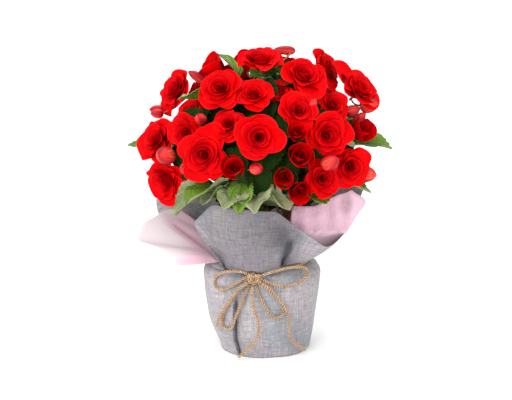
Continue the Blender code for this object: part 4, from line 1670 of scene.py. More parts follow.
    def map_threads(self, shaper: Shaper, body: Sequence[tuple[float, float]], rows: int) -> None:
        """Scale the UV map to metres of cloth, so that threads keep their size.

        Args:
            shaper: the cloth's mesh.
            body: the body's radii and heights.
            rows: the sheet's rows of faces.
        """
        lengths = [0.0]
        for (r0, z0), (r1, z1) in zip(body, body[1:]):
            lengths.append(lengths[-1] + math.hypot(r1 - r0, z1 - z0))
        neck = len(body) - 1
        for face in shaper.bm.faces:
            for loop in face.loops:
                uv = loop[shaper.uv].uv
                row = round(uv.y * rows)
                turn = uv.x - 0.5
                if row <= neck:
                    loop[shaper.uv].uv = (turn * self.body_girth, lengths[row])
                    continue
                point = loop.vert.co
                flared = ease(0.0, 0.3, (row - neck) / self.collar_rows)
                along = turn * (self.body_girth + self.flare_girth * flared)
                rise = point.z - self.neck_top_z
                out = math.hypot(point.x, point.y) - self.neck_radius
                up = lengths[neck] + self.threads_up * rise + self.threads_out * out
                skew = self.threads_skew * along * flared
                loop[shaper.uv].uv = (along - self.threads_lean * rise, up + skew)


@dataclass
class Tissue:
    """Two flaps of pink tissue between the collar and the leaves."""

    wrap: Wrap
    columns: int = 56
    rows: int = 26
    thickness: float = 0.0004
    neck_radius: float = 0.0495
    foot_z: float = 0.108
    neck_z: float = 0.1155
    right_fold_up: float = 0.1333
    left_fold: tuple[Span, Span] = ((-0.1133, 0.144), (-0.048, 0.095))
    fan_depth: float = 0.0012
    fan_per_metre: float = 330.0
    fold_depth: Span = (0.0024, 0.003)
    off_collar: float = 0.0016
    flat: Span = (0.11, 0.14)
    least_area_share: float = 0.3
    flaps: dict[str, tuple[Edge, ...]] = field(default_factory=lambda: {
        "tissue_left": (
            Edge(-50, -66, 0.109, 0.1122), Edge(-57, -70, 0.11, 0.123), Edge(-66, -77, 0.134, 0.133),
            Edge(-76, -84, 0.1495, 0.136), Edge(-86, -92, 0.136, 0.151), Edge(-96, -101, 0.119, 0.158),
            Edge(-107, -108, 0.102, 0.16),
        ),
        "tissue_right": (
            Edge(26, 28, 0.074, 0.192, 0.8, 1.2), Edge(38, 42, 0.086, 0.19, 0.8, 1.4),
            Edge(52, 56, 0.1, 0.2, 0.8, 1.5), Edge(66, 70, 0.111, 0.204, 0.8, 1.6),
            Edge(76, 79, 0.118, 0.189, 0.8, 1.85), Edge(84, 88, 0.122, 0.174, 0.8, 1.62),
            Edge(92, 97, 0.112, 0.162, 0.8, 1.4), Edge(100, 106, 0.112, 0.15, 0.8, 1.4),
            Edge(109, 114, 0.102, 0.15, 0.8, 1.4),
        ),
    })

    def build(self) -> None:
        """Build each flap as one thin sheet."""
        flare = Flare(self.neck_radius, self.neck_z)
        for name, listed in self.flaps.items():
            edges = dense_edges(listed, self.columns, False, 5)
            shaper = Shaper()
            shaper.lay(self.columns, self.rows, self.placer(edges, flare))
            self.paint_layers_and_shade(shaper)
            area = sum(face.calc_area() for face in shaper.bm.faces)
            piece = bring_in(f"{name}_sheet", shaper, [TISSUE.material()], Slot.TISSUE, [name])
            thicken(piece, self.thickness, 0.0)
            area = max(area, self.least_area_share * self.flat[0] * self.flat[1])

    def placer(self, edges: Sequence[Edge], flare: Flare) -> Place:
        """What puts a flap's points in place.

        Args:
            edges: an edge for each column.
            flare: how the flap runs out to them.

        Returns:
            It gives the point for two shares.
        """

        def place(turn: float, up: float) -> Vector:
            """A point of the flap.

            Args:
                turn: 0 to 1 round it.
                up: 0 to 1 up it.

            Returns:
                The point.
            """
            edge = edges[round(turn * self.columns)]
            row = round(up * self.rows)
            if row == 0:
                return around(edge.neck, self.neck_radius, self.foot_z)
            share = (row - 1) / (self.rows - 1)
            bearing, radius, height = flare.point(edge, share)
            if bearing > 60:
                height = max(height, self.wrap.collar_height(bearing, radius) + self.off_collar)
            wave = 0.0013 * math.sin(9 * turn * math.pi + 3 * share) * ease(0.1, 0.8, share)
            wave += 0.001 * noise.noise(around(bearing, radius, height) * 46)
            point = around(bearing, radius + wave + CREASE.move(edge.neck, share), height)
            return point + around(bearing, self.fold(point), 0.0)

        return place

    def fold(self, point: Vector) -> float:
        """How far a flap's own folds move it out.

        Args:
            point: the point.

        Returns:
            Metres out.
        """
        left, right = self.fold_depth
        if point.x < 0:
            return left * ease(-0.0016, 0.0016, self.off_fold(point)) * ease(-0.12, -0.108, point.x)
        low = seen_up(point) - self.right_fold_up
        fan = self.fan_depth * math.sin(point.x * self.fan_per_metre) * ease(0.0, 0.03, low)
        return fan + right * math.exp(low / 0.006 if low < 0 else -low / 0.0018)

    def off_fold(self, point: Vector) -> float:
        """How far a point lies above the slanting fold of the left flap, as seen from the front.

        Args:
            point: the point.

        Returns:
            Metres, below 0 under the fold.
        """
        start, end = self.left_fold
        run = Vector((end[0] - start[0], end[1] - start[1]))
        away = Vector((point.x - start[0], seen_up(point) - start[1]))
        return (run.x * away.y - run.y * away.x) / run.length

    def left_layers_and_shade(self, point: Vector) -> float:
        """How deep the left flap's colour is, from 0 alone and pale to 1 before something dark: partly the
        deeper pink of its doubled layers, partly painted shade.

        Args:
            point: the point.

        Returns:
            The depth.
        """
        off = self.off_fold(point)
        strip = 0.78 * hump(off, 0.0034, 0.0036) * ease(-0.118, -0.1, point.x)
        inner = 0.26 * ease(0.004, 0.012, off) * ease(-0.112, -0.094, point.x)
        low = 0.46 * (1 - ease(-0.004, 0.002, off)) * ease(-0.104, -0.06, point.x)
        lobe = 0.14 * (1 - ease(0.1, 0.112, seen_up(point)))
        return 0.08 + strip + inner + low + lobe

    def right_painted_shade(self, point: Vector, at_edge: bool) -> float:
        """How deep the right flap's colour is, from 0 alone and pale to 1 before something dark: painted
        shade above its fold and between its fan folds, a painted shadow of the leaves behind it and a painted
        dark line on its upper rim.

        Args:
            point: the point.
            at_edge: whether it is on the upper rim.

        Returns:
            The depth.
        """
        # A dark painted line of shade along the left part of the upper rim.
        if at_edge and point.x < 0.074:
            return 0.95
        up = seen_up(point)
        low = up - self.right_fold_up
        depth = 0.34 if low < 0 else 0.7 + 0.08 * math.sin(point.x * self.fan_per_metre)
        depth -= 0.2 * ease(0.088, 0.112, point.x)
        depth += 0.22 * ease(0.012, 0.034, low) * (1 - ease(0.066, 0.09, point.x))
        # A painted shadow of the leaves and stalks behind the tissue.
        return depth + 0.42 * hump(math.hypot(point.x - 0.098, (up - 0.168) * 0.7), 0, 0.0075)

    def paint_layers_and_shade(self, shaper: Shaper) -> None:
        """Deepen the colour where layers lie together, and paint shade in the folds and where dark things
        stand behind.

        Args:
            shaper: the flap's mesh.
        """
        for vertex in shaper.bm.verts:
            if vertex.co.x < 0:
                vertex[shaper.shade] = self.left_layers_and_shade(vertex.co)
            else:
                at_edge = vertex.is_boundary and vertex.co.z > 0.17
                vertex[shaper.shade] = self.right_painted_shade(vertex.co, at_edge)


# ---- pot and soil


@dataclass
class PotAndSoil:
    """The grower's pot and its soil, which keep their CAD shape and get their finish here."""

    finishes: dict[str, Finish] = field(default_factory=lambda: {"pot": TERRACOTTA, "soil": SOIL})

    def build(self) -> None:
        """Dress the two CAD nodes."""
        for name, finish in self.finishes.items():
            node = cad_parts[name]
            node.data.materials.clear()
            node.data.materials.append(finish.material())
            log.info("%s: dressed", name)


# ---- flowers


@dataclass(frozen=True)
class Bloom:
    """A flower's place on the dome, its diameter, and whether it is fully open."""

    bearing: float
    rise: float
    reach: float
    diameter: float
    opened: bool


@dataclass(frozen=True)
class Bud:
    """A bud's place on the dome, its length and width, and the bloom whose spray it shares."""

    bloom: int
    bearing: float
    rise: float
    reach: float
    length: float
    width: float


@dataclass(frozen=True)
class Whorl:
    """A ring of petals. Lengths are shares of the flower's diameter, and slopes are degrees above level."""

    petals: int
    turn: float
    start: float
    depth: float
    length: float
    width: float
    slope: float
    tip_slope: float
    cup: float
    ruffle: float


OPEN_WHORLS = (
    Whorl(4, 0, 0.03, -0.2, 0.64, 0.68, 58, -20, 0.55, 0.02),
    Whorl(5, 40, 0.03, -0.19, 0.56, 0.6, 64, -5, 0.44, 0.018),
    Whorl(5, 12, 0.03, -0.18, 0.5, 0.52, 70, 14, 0.34, 0.014),
    Whorl(4, 40, 0.03, -0.17, 0.44, 0.46, 76, 38, 0.26, 0.01),
    Whorl(4, 8, 0.03, -0.16, 0.4, 0.36, 82, 62, 0.17, 0.008),
    Whorl(3, 30, 0.02, -0.16, 0.37, 0.26, 86, 84, 0.1, 0.005),
    Whorl(2, 80, 0.01, -0.16, 0.35, 0.17, 90, 100, 0.055, 0.003),
)
STANDING_PETAL = Whorl(1, 0, 0.03, -0.15, 0.8, 0.62, 20, 4, 0.7, 0.02)
HALF_OPEN_WHORLS = (
    Whorl(2, 0, 0.05, -0.4, 0.95, 1.28, 38, 88, 0.5, 0.012),
    Whorl(2, 90, 0.04, -0.38, 0.88, 0.95, 44, 98, 0.44, 0.012),
    Whorl(3, 20, 0.03, -0.34, 0.7, 0.55, 62, 98, 0.22, 0.01),
    Whorl(3, 70, 0.02, -0.32, 0.62, 0.36, 78, 98, 0.12, 0.006),
)

BLOOMS = tuple(Bloom(*row) for row in (
    (-102, 36, 1.08, 0.044, True), (-120, 58, 1.04, 0.028, False), (176, 96, 1.06, 0.046, True),
    (-42, 53, 1.02, 0.045, True), (-8, 55, 0.94, 0.038, True), (-91, 6, 1.04, 0.048, True),
    (-61, 20, 0.92, 0.038, True), (-80, 33, 0.86, 0.031, True), (-79, -18, 1.03, 0.046, True),
    (-35, 10, 1.03, 0.048, True), (-25, 31, 0.92, 0.036, True), (-2, 24, 1.05, 0.048, True),
    (-16, 4, 1.02, 0.027, False), (62, 62, 1.02, 0.048, True), (112, 52, 1.1, 0.042, True),
    (99, 33, 1.18, 0.046, True), (70, 37, 0.94, 0.034, True), (28, 40, 1.000, 0.04, True),
    (23, 62, 0.87, 0.029, True), (43, 21, 1.03, 0.046, True), (22, 10, 1.03, 0.03, False),
    (12, -2, 1.04, 0.024, False), (57, -2, 1.02, 0.042, True), (37, -7, 1.000, 0.036, True),
    (22, -12, 1.01, 0.026, False), (21, 25, 1.06, 0.022, False), (91, 13, 1.000, 0.028, False),
    (124, 3, 1.02, 0.045, True), (148, -8, 1.03, 0.043, True), (174, -5, 1.02, 0.045, True),
    (-160, -9, 1.02, 0.044, True), (-134, -2, 1.03, 0.045, True), (132, 28, 1.03, 0.044, True),
    (162, 24, 1.02, 0.046, True), (-166, 26, 1.03, 0.044, True), (-134, 28, 1.02, 0.044, True),
    (148, 54, 1.02, 0.044, True), (-162, 54, 1.02, 0.044, True),
))
BUDS = tuple(Bud(*row) for row in (
    (0, -100, 21, 1.15, 0.014, 0.009), (0, -93, 21, 1.13, 0.012, 0.008),
    (1, -109, 49, 1.05, 0.02, 0.008), (2, 145, 70, 1.14, 0.022, 0.007),
    (7, -47, 32, 0.98, 0.015, 0.01), (5, -66, 3, 1.06, 0.02, 0.018), (8, -50, -2, 1.000, 0.016, 0.01),
    (12, -3, 4, 1.02, 0.016, 0.011), (23, 39, 5, 1.08, 0.02, 0.015), (17, 40, 42, 1.02, 0.015, 0.01),
    (15, 97, 24, 1.19, 0.019, 0.015), (16, 88, 27, 1.02, 0.015, 0.01),
    (26, 92, 20, 1.04, 0.017, 0.008), (22, 82, -13, 1.09, 0.02, 0.016),
    (29, 158, 9, 1.06, 0.015, 0.01), (31, -146, 12, 1.05, 0.015, 0.01),
))


@dataclass
class Flowers:
    """The dome of double flowers and buds, each on its own stalk."""

    dome_centre_z: float = 0.24
    dome_radii: tuple[float, float, float] = (0.116, 0.1, 0.104)
    focus_z: float = 0.2
    tilt: float = 12.0
    face_turn: float = 40.0
    face_rise: float = 0.75
    fullness: float = 1.14
    open_depth: float = -0.19
    half_open_depth: float = -0.42
    heart_sway: float = 0.09
    ovality: float = 0.05
    sway_play: Span = (0.3, 1.0)
    length_play: Span = (0.86, 1.06)
    width_play: Span = (0.92, 1.12)
    ruffle_play: Span = (0.6, 2.1)
    skew_play: float = 0.12
    foot_play: float = 7.0
    tip_play: float = 14.0
    turn_play: float = 13.0
    half_open_play: float = 0.3
    outer_faces: int = 9
    heart_faces: int = 6
    pedicel_length: float = 0.011
    pedicel_radius: float = 0.0013
    pedicel_swell: float = 0.35
    open_head: float = -0.14
    half_open_head: float = -0.38
    spray_depth: float = -0.1
    bloom_seeds: int = 700
    bud_seeds: int = 900
    bud_fullness: Span = (1.1, 1.15)
    bud_swell: float = 0.0012
    bud_flatness: float = 0.88
    bud_stalk_radius: float = 0.001
    bud_stalk_swell: float = 0.2
    standing: dict[int, Span] = field(default_factory=lambda: {15: (-9.0, 0.98), 9: (24.0, 0.8)})

    def dome_point(self, bearing: float, rise: float, reach: float) -> Vector:
        """A point of the flower dome.

        Args:
            bearing: degrees from the front.
            rise: degrees above the dome's middle.
            reach: share of the dome's radii.

        Returns:
            The point.
        """
        turn = math.radians(bearing)
        up = math.radians(rise)
        wide, deep, tall = self.dome_radii
        return Vector((
            wide * reach * math.cos(up) * math.sin(turn),
            -deep * reach * math.cos(up) * math.cos(turn),
            self.dome_centre_z + tall * reach * math.sin(up),
        ))

    def bloom_frame(self, number: int) -> Matrix:
        """The place and attitude of a bloom, which faces out along local +Z.

        Args:
            number: the flower's number.

        Returns:
            The frame.
        """
        bloom = BLOOMS[number]
        centre = self.dome_point(bloom.bearing, bloom.rise, bloom.reach)
        outward = (centre - Vector((0.0, 0.0, self.focus_z))).normalized()
        bearing = math.atan2(outward.x, -outward.y)
        bearing -= math.radians(self.face_turn) * math.sin(bearing)
        rise = math.asin(outward.z) * self.face_rise
        level = math.cos(rise)
        facing = Vector((level * math.sin(bearing), -level * math.cos(bearing), math.sin(rise)))
        tilt = Matrix.Rotation(math.radians(self.tilt * math.sin(2.4 * number)), 4, "X")
        face = facing.to_track_quat("Z", "Y").to_matrix().to_4x4()
        spin = Matrix.Rotation(math.radians(137.5 * number), 4, "Z")
        return Matrix.Translation(centre) @ face @ tilt @ spin

    def pedicel_end(self, number: int) -> Vector:
        """The lower end of a bloom's own stalk.

        Args:
            number: the flower's number.

        Returns:
            The point.
        """
        share = self.open_depth if BLOOMS[number].opened else self.half_open_depth
        depth = share * BLOOMS[number].diameter - self.pedicel_length
        return self.bloom_frame(number) @ Vector((0.0, 0.0, depth))

    def petal(self, shaper: Shaper, frame_of: Matrix, size: float, whorl: Whorl, turn: float,
              shade: float, draw: random.Random) -> None:
        """Lay one petal.

        Args:
            shaper: the mesh that takes it.
            frame_of: the flower's place and attitude.
            size: the flower's diameter.
            whorl: the ring that it belongs to.
            turn: where it stands round the flower, in degrees.
            shade: how deep in the heart it is, from 0 to 1, which also sets its painted shade.
            draw: its seeded draw.
        """
        length = whorl.length * size * draw.uniform(*self.length_play)
        half = whorl.width * size / 2 * draw.uniform(*self.width_play)
        foot = math.radians(whorl.slope + draw.uniform(-self.foot_play, self.foot_play))
        tip = math.radians(whorl.tip_slope)
        bend = tip - foot if abs(tip - foot) > 0.02 else 0.02
        cup = whorl.cup * size
        phase = draw.uniform(0, math.tau)
        lobes = draw.choice((2, 3, 3, 4))
        ruffle = whorl.ruffle * size * draw.uniform(*self.ruffle_play)
        skew = draw.uniform(-self.skew_play, self.skew_play)
        around_axis = Matrix.Rotation(math.radians(turn), 4, "Z")

        def place(run: float, side: float) -> Vector:
            """A point of the petal.

            Args:
                run: 0 to 1 from foot to tip.
                side: 0 to 1 across.

            Returns:
                The point.
            """
            dy, dx = disc_point(2 * run - 1, 2 * side - 1)
            share = (dy + 1) / 2
            across = dx * half * (0.4 + 0.6 * ease(0.0, 0.55, share)) + skew * length * share * share
            slope = foot + bend * share
            reach = whorl.start * size + length * (math.sin(slope) - math.sin(foot)) / bend
            height = whorl.depth * size + length * (math.cos(foot) - math.cos(slope)) / bend
            curl = across / cup
            lift = cup * (1 - math.cos(min(1.5, abs(curl))))
            wave = (dx * dx + dy * dy) ** 2 * ruffle * math.sin(lobes * math.atan2(dx, dy) + phase)
            lift += wave
            point = Vector((
                reach - math.sin(slope) * lift,
                cup * math.sin(max(-1.5, min(1.5, curl))),
                height + math.cos(slope) * lift,
            ))
            return frame_of @ around_axis @ point

        fine = self.outer_faces if shade < 0.3 else self.heart_faces
        shaper.lay(fine, fine - 1, place, 0, shade)

    def build_bloom(self, number: int, materials: Sequence[Material]) -> None:
        """Build one flower with the buds of its spray.

        Args:
            number: the flower's number.
            materials: those of petal, bud and stalk.
        """
        bloom = BLOOMS[number]
        draw = random.Random(self.bloom_seeds + number)
        frame_of = self.bloom_frame(number)
        size = bloom.diameter * self.fullness
        whorls = OPEN_WHORLS if bloom.opened else HALF_OPEN_WHORLS
        lean = draw.uniform(0, math.tau)
        sway = Vector((math.cos(lean), math.sin(lean), 0.0)) * self.heart_sway * size
        sway *= draw.uniform(*self.sway_play)
        oval = draw.uniform(0, 180)
        shaper = Shaper()
        for ring, whorl in enumerate(whorls):
            shade = ring / (len(whorls) - 1)
            for k in range(whorl.petals):
                play = 1.0 if bloom.opened else self.half_open_play
                loose = 1.5 - shade if bloom.opened else self.half_open_play
                turn = whorl.turn + 360 * k / whorl.petals
                turn += draw.uniform(-self.turn_play, self.turn_play) * play
                stretch = 1 + self.ovality * loose * (math.cos(2 * math.radians(turn - oval)) - 0.4)
                tip_slope = whorl.tip_slope + draw.uniform(-self.tip_play, self.tip_play) * loose
                own = replace(whorl, length=whorl.length * stretch, tip_slope=tip_slope)
                self.petal(shaper, frame_of @ Matrix.Translation(sway * shade), size, own, turn, shade, draw)
        if number in self.standing:
            self.standing_petal(shaper, number, size, draw)
        joint = self.pedicel(shaper, number, size)
        for index, bud in enumerate(BUDS):
            if bud.bloom == number:
                self.bud(shaper, bud, joint, random.Random(self.bud_seeds + index))
        name = f"bloom_{number + 1:02d}"
        bring_in(f"{name}_petals", shaper, materials, Slot.PETALS, [name])

    def standing_petal(self, shaper: Shaper, number: int, size: float, draw: random.Random) -> None:
        """Lay the large petal that stands up at the top of a flower.

        Args:
            shaper: the mesh that takes it.
            number: the flower's number.
            size: the flower's diameter.
            draw: its seeded draw.
        """
        frame_of = self.bloom_frame(number)
        lean, length = self.standing[number]
        lean = math.radians(lean)
        up = frame_of.to_3x3().inverted() @ Vector((math.sin(lean), 0.0, math.cos(lean)))
        whorl = replace(STANDING_PETAL, length=length)
        self.petal(shaper, frame_of, size, whorl, math.degrees(math.atan2(up.y, up.x)), 0.0, draw)

    def pedicel(self, shaper: Shaper, number: int, size: float) -> Vector:
        """Lay a bloom's own stalk.

        Args:
            shaper: the mesh that takes it.
            number: the flower's number.
            size: the flower's diameter.

        Returns:
            The joint that its buds' stalks start from.
        """
        bloom, frame_of = BLOOMS[number], self.bloom_frame(number)
        foot = self.pedicel_end(number)
        depth = self.open_head if bloom.opened else self.half_open_head
        head = frame_of @ Vector((0, 0, depth * size))
        line = smooth_route([foot, foot.lerp(head, 0.5), head], 0.002)
        radius = swell(self.pedicel_radius, self.pedicel_swell)
        shaper.tube(line, radius, sides=8, finish=2, shade=0.85)
        return foot.lerp(frame_of @ Vector((0, 0, self.spray_depth * bloom.diameter)), 0.25)

    def bud(self, shaper: Shaper, bud: Bud, joint: Vector, draw: random.Random) -> None:
        """Lay a bud of two clasping petals and the thin stalk that carries it.

        Args:
            shaper: the mesh that takes it.
            bud: its place and size.
            joint: where its stalk starts.
            draw: its seeded draw.
        """
        middle = self.dome_point(bud.bearing, bud.rise, bud.reach)
        towards = (middle - joint).normalized()
        facing = (towards + (middle - Vector((0.0, 0.0, self.focus_z))).normalized()).normalized()
        if bud.width < bud.length / 3:
            facing = Vector((-1.0, -0.2, 0.1)).normalized()
        turn = facing.to_track_quat("Z", "Y").to_matrix().to_4x4()
        roll = Matrix.Rotation(draw.uniform(0, math.tau), 4, "Z")
        place_of = Matrix.Translation(middle) @ turn @ roll
        half_long = bud.length / 2 * self.bud_fullness[0] + self.bud_swell
        half_wide = bud.width / 2 * self.bud_fullness[1] + self.bud_swell

        def place(around_share: float, along: float) -> Vector:
            """A point of the bud's skin.

            Args:
                around_share: 0 to 1 round it.
                along: 0 to 1 from foot to tip.

            Returns:
                The point.
            """
            angle = math.tau * around_share
            rise = -math.cos(math.pi * along)
            reach = math.sin(math.pi * along) ** 0.9 * (1.0 - 0.24 * rise)
            reach *= 1 - 0.3 * ease(0.55, 1.0, rise)
            groove = 1 - 0.13 * hump(math.sin(angle), 0, 0.2) * ease(-0.7, 0.2, rise)
            return place_of @ Vector((
                half_wide * reach * math.cos(angle) * self.bud_flatness,
                half_wide * reach * groove * math.sin(angle),
                half_long * rise,
            ))

        shaper.roll(16, 12, place, finish=1)
        foot = middle - facing * bud.length * 0.46
        bend = joint.lerp(foot, 0.6) - facing * 0.004
        line = smooth_route([joint, bend, foot], 0.0022)
        radius = swell(self.bud_stalk_radius, self.bud_stalk_swell)
        shaper.tube(line, radius, sides=7, finish=2, shade=1.0)

    def build(self) -> None:
        """Build every flower."""
        materials = [PETAL.material(), BUD.material(), STALK.material()]
        for number in range(len(BLOOMS)):
            self.build_bloom(number, materials)


# ---- foliage


@dataclass(frozen=True)
class Leaf:
    """A leaf: its stem, where the blade starts, which way it points, how it hangs, and its size."""

    stem: int
    bearing: float
    radius: float
    height: float
    heading: float
    pitch: float
    roll: float
    length: float
    width: float


LEAVES = tuple(Leaf(*row) for row in (
    (0, -17, 0.07, 0.223, -20, -48, 0, 0.037, 0.034), (0, -14, 0.066, 0.206, 84, -8, -62, 0.05, 0.044),
    (0, -48, 0.062, 0.206, 76, -6, -60, 0.05, 0.044), (5, -42, 0.066, 0.209, -46, 7, 14, 0.058, 0.052),
    (5, -58, 0.068, 0.204, -78, -22, 54, 0.052, 0.046), (5, -76, 0.062, 0.302, -62, 24, 26, 0.042, 0.034),
    (5, -50, 0.052, 0.262, -52, 30, 0, 0.044, 0.04), (5, -66, 0.05, 0.226, -66, 22, 0, 0.044, 0.044),
    (4, -112, 0.094, 0.232, -98, 11, -14, 0.068, 0.044),
    (4, -128, 0.034, 0.322, -122, 52, 10, 0.036, 0.026), (4, -110, 0.074, 0.187, -112, 0, 6, 0.056, 0.052),
    (4, -138, 0.074, 0.196, -138, -6, -6, 0.056, 0.046), (0, 4, 0.014, 0.316, 6, 56, 0, 0.03, 0.022),
    (0, 12, 0.052, 0.258, 10, 30, 0, 0.044, 0.04), (1, 42, 0.064, 0.204, 40, 6, 10, 0.046, 0.044),
    (1, 58, 0.046, 0.236, 56, 24, 0, 0.042, 0.042), (1, 73, 0.07, 0.256, 70, 10, 10, 0.04, 0.03),
    (1, 76, 0.078, 0.206, 80, 2, -12, 0.05, 0.038), (2, 100, 0.088, 0.238, 90, 12, 12, 0.061, 0.046),
    (2, 100, 0.088, 0.262, 97, 22, -10, 0.036, 0.028), (2, 110, 0.072, 0.206, 112, 0, 8, 0.056, 0.046),
    (2, 138, 0.07, 0.198, 138, -4, -8, 0.054, 0.052), (3, 164, 0.072, 0.192, 164, -4, 8, 0.056, 0.054),
    (3, -168, 0.072, 0.198, -168, -6, -8, 0.054, 0.048), (3, 180, 0.056, 0.262, 180, 28, 0, 0.044, 0.04),
))


@dataclass
class Foliage:
    """Six leafy stems in the soil, with the stalks that reach up to the flowers."""

    flowers: Flowers
    stems: int = 6
    foot_radius: float = 0.022
    top_radius: float = 0.032
    top_z: float = 0.172
    hole_floor_z: float = 0.0673
    soil_top_z: float = 0.098
    back_share: float = 0.37
    gap: float = 0.0003
    teeth: int = 23
    tooth_depth: float = 0.105
    blade_faces: int = 28
    blade_thickness: float = 0.0005
    pale_side_up: tuple[int, ...] = (5, 16)
    crown: Leaf = Leaf(0, -120, 0.0162, 0.331, 84, 8, 48, 0.034, 0.027)
    hem: tuple[Leaf, ...] = (
        Leaf(0, -40, 0.066, 0.2055, -52, -6, 16, 0.034, 0.048),
        Leaf(0, -24, 0.071, 0.206, -34, -8, -10, 0.028, 0.046),
        Leaf(0, -6, 0.072, 0.204, -4, -8, 12, 0.026, 0.046),
        Leaf(1, 12, 0.066, 0.202, 30, -4, -14, 0.028, 0.04),
    )
    leaf_seeds: int = 300
    hem_seeds: int = 400
    crown_seed: int = 420
    blade_sag: float = 0.22
    blade_trough: float = 0.55
    quilt_height: float = 0.0012
    inner_leaves: int = 96
    inner_length: float = 0.05
    inner_play: Span = (0.8, 1.15)
    inner_faces: int = 12
    inner_turn: float = 137.508
    inner_reaches: tuple[float, ...] = (0.62, 0.74, 0.84)
    stem_taper: Span = (0.004, 0.001)
    flower_stalk_taper: Span = (0.0021, 0.0007)
    petiole_taper: Span = (0.002, 0.001)
    inner_stalk_taper: Span = (0.0014, 0.0005)
    inner_seeds: int = 5200
    inner_blade_seeds: int = 6000
    petiole_reach: float = -0.72
    petiole_sink: float = 0.0008
    petiole_arch: float = 0.008
    flat_petiole_arch: float = 0.0026
    flat_leaves: float = 0.22
    low_leaves: float = 0.24
    collar_top: float = 0.205
    collar_room: float = 0.07
    collar_back: float = 0.02

    def inner_leaf(self, k: int) -> tuple[Leaf, Matrix]:
        """One of the shaded leaves that fill the dome under the flowers: its size, and where it hangs.

        Args:
            k: its number.

        Returns:
            The leaf and its frame.
        """
        draw = random.Random(self.inner_seeds + k)
        share = (k + 0.5) / self.inner_leaves
        bearing = turn_between(self.inner_turn * k, 0)
        rise = math.degrees(math.asin(-0.82 + 1.8 * share))
        tuck = 0.26 * ease(0.34, 0.14, share)
        middle = self.flowers.dome_point(bearing, rise, self.inner_reaches[k % 3] - tuck)
        outward = (middle - Vector((0.0, 0.0, self.flowers.focus_z))).normalized()
        outward = (outward + Vector([draw.uniform(-0.35, 0.35) for _ in range(3)])).normalized()
        sideways = Vector([draw.uniform(-0.7, 0.7) for _ in range(3)])
        tip = (Vector((outward.x, outward.y, -0.8)) + sideways).normalized()
        tip = (tip - outward * tip.dot(outward)).normalized()
        turn = Matrix((tip, outward.cross(tip), outward)).transposed().to_4x4()
        length = self.inner_length * draw.uniform(*self.inner_play)
        leaf = Leaf(0, bearing, 0, 0, 0, 0, 0, length, length * 0.9)
        return leaf, Matrix.Translation(middle - tip * length * 0.5) @ turn

    def leaf_frame(self, leaf: Leaf) -> Matrix:
        """The start of a blade: local +X runs to the tip and local +Z is its upper face.

        Args:
            leaf: the leaf.

        Returns:
            The frame.
        """
        start = around(leaf.bearing, leaf.radius, leaf.height)
        heading = Matrix.Rotation(math.radians(leaf.heading - 90), 4, "Z")
        pitch = Matrix.Rotation(-math.radians(leaf.pitch), 4, "Y")
        roll = Matrix.Rotation(math.radians(leaf.roll), 4, "X")
        return Matrix.Translation(start) @ heading @ pitch @ roll

    def leaf_point(self, leaf: Leaf, x: float, y: float) -> Vector:
        """A point of a blade, from -1 to 1 along it and across it.

        Args:
            leaf: the leaf.
            x: -1 at the foot to 1 at the tip.
            y: -1 to 1 across.

        Returns:
            The point.
        """
        run = (x + 1) / 2
        lopsided = 1.08 if y > 0 else 0.92
        across = y * leaf.width / 2 * lopsided * (1.06 - 0.34 * run)
        sag = -self.blade_sag * leaf.length * run * run
        trough = self.blade_trough * abs(across)
        return Vector((leaf.length * run, across, sag + trough))

    def blade(
        self, shaper: Shaper, leaf: Leaf, frame_of: Matrix, seed: int, faces: int, finish: int = 0,
    ) -> None:
        """Lay one toothed and quilted blade.

        Args:
            shaper: the mesh that takes it.
            leaf: its size.
            frame_of: its place and attitude.
            seed: starts its own draw.
            faces: how many faces it has each way.
            finish: the material slot of its upper face.
        """
        draw = random.Random(seed)
        phase = draw.uniform(0, math.tau)

        def place(run: float, side: float) -> Vector:
            """A point of the blade.

            Args:
                run: 0 to 1 from foot to tip.
                side: 0 to 1 across.

            Returns:
                The point.
            """
            x, y = 2 * run - 1, 2 * side - 1
            dx, dy = disc_point(x, y)
            edge = max(abs(x), abs(y))
            angle = math.atan2(dy, dx)
            angle_on = angle + 0.1 * math.sin(5 * angle + phase)
            tooth = abs((angle_on / math.tau * self.teeth + phase) % 1.0 - 0.35) * 2
            tooth *= 0.75 + 0.45 * math.sin(3 * angle + 2 * phase)
            reach = 1 + self.tooth_depth * (0.5 - tooth) * ease(0.86, 1.0, edge)
            reach += 0.07 * max(0.0, math.cos(angle)) ** 14
            point = self.leaf_point(leaf, dx * reach, dy * reach)
            rim = (dx * dx + dy * dy) ** 1.5
            point.z += leaf.width * 0.045 * rim * math.sin(5 * angle + phase)
            from_foot = math.atan2(abs(dy) / 2, (dx + 1) / 2 + VEIN_FOOT)
            puff = self.quilt_height * math.sin(math.pi * from_foot / VEIN_ANGLE) ** 2
            point.z += puff * (1 - ease(0.8, 1.0, edge)) * ease(0.1, 0.45, math.hypot(dy / 2, (dx + 1) / 2))
            return frame_of @ point

        shaper.lay(faces, faces, place, finish)

    def serving(self, bearing: float) -> int:
        """The number of the stem that carries what grows at a bearing."""
        return round(bearing * self.stems / 360) % self.stems

    def stem_line(self, stem: int) -> list[Vector]:
        """The main stem, from the bottom of its hole to where it branches.

        Args:
            stem: the stem's number.

        Returns:
            The line's four points.
        """
        turn = 360 * stem / self.stems
        return [
            around(turn, self.foot_radius, self.hole_floor_z),
            around(turn, self.foot_radius, self.soil_top_z),
            around(turn, 0.6 * self.foot_radius + 0.4 * self.top_radius, 0.128),
            around(turn, self.top_radius, self.top_z),
        ]

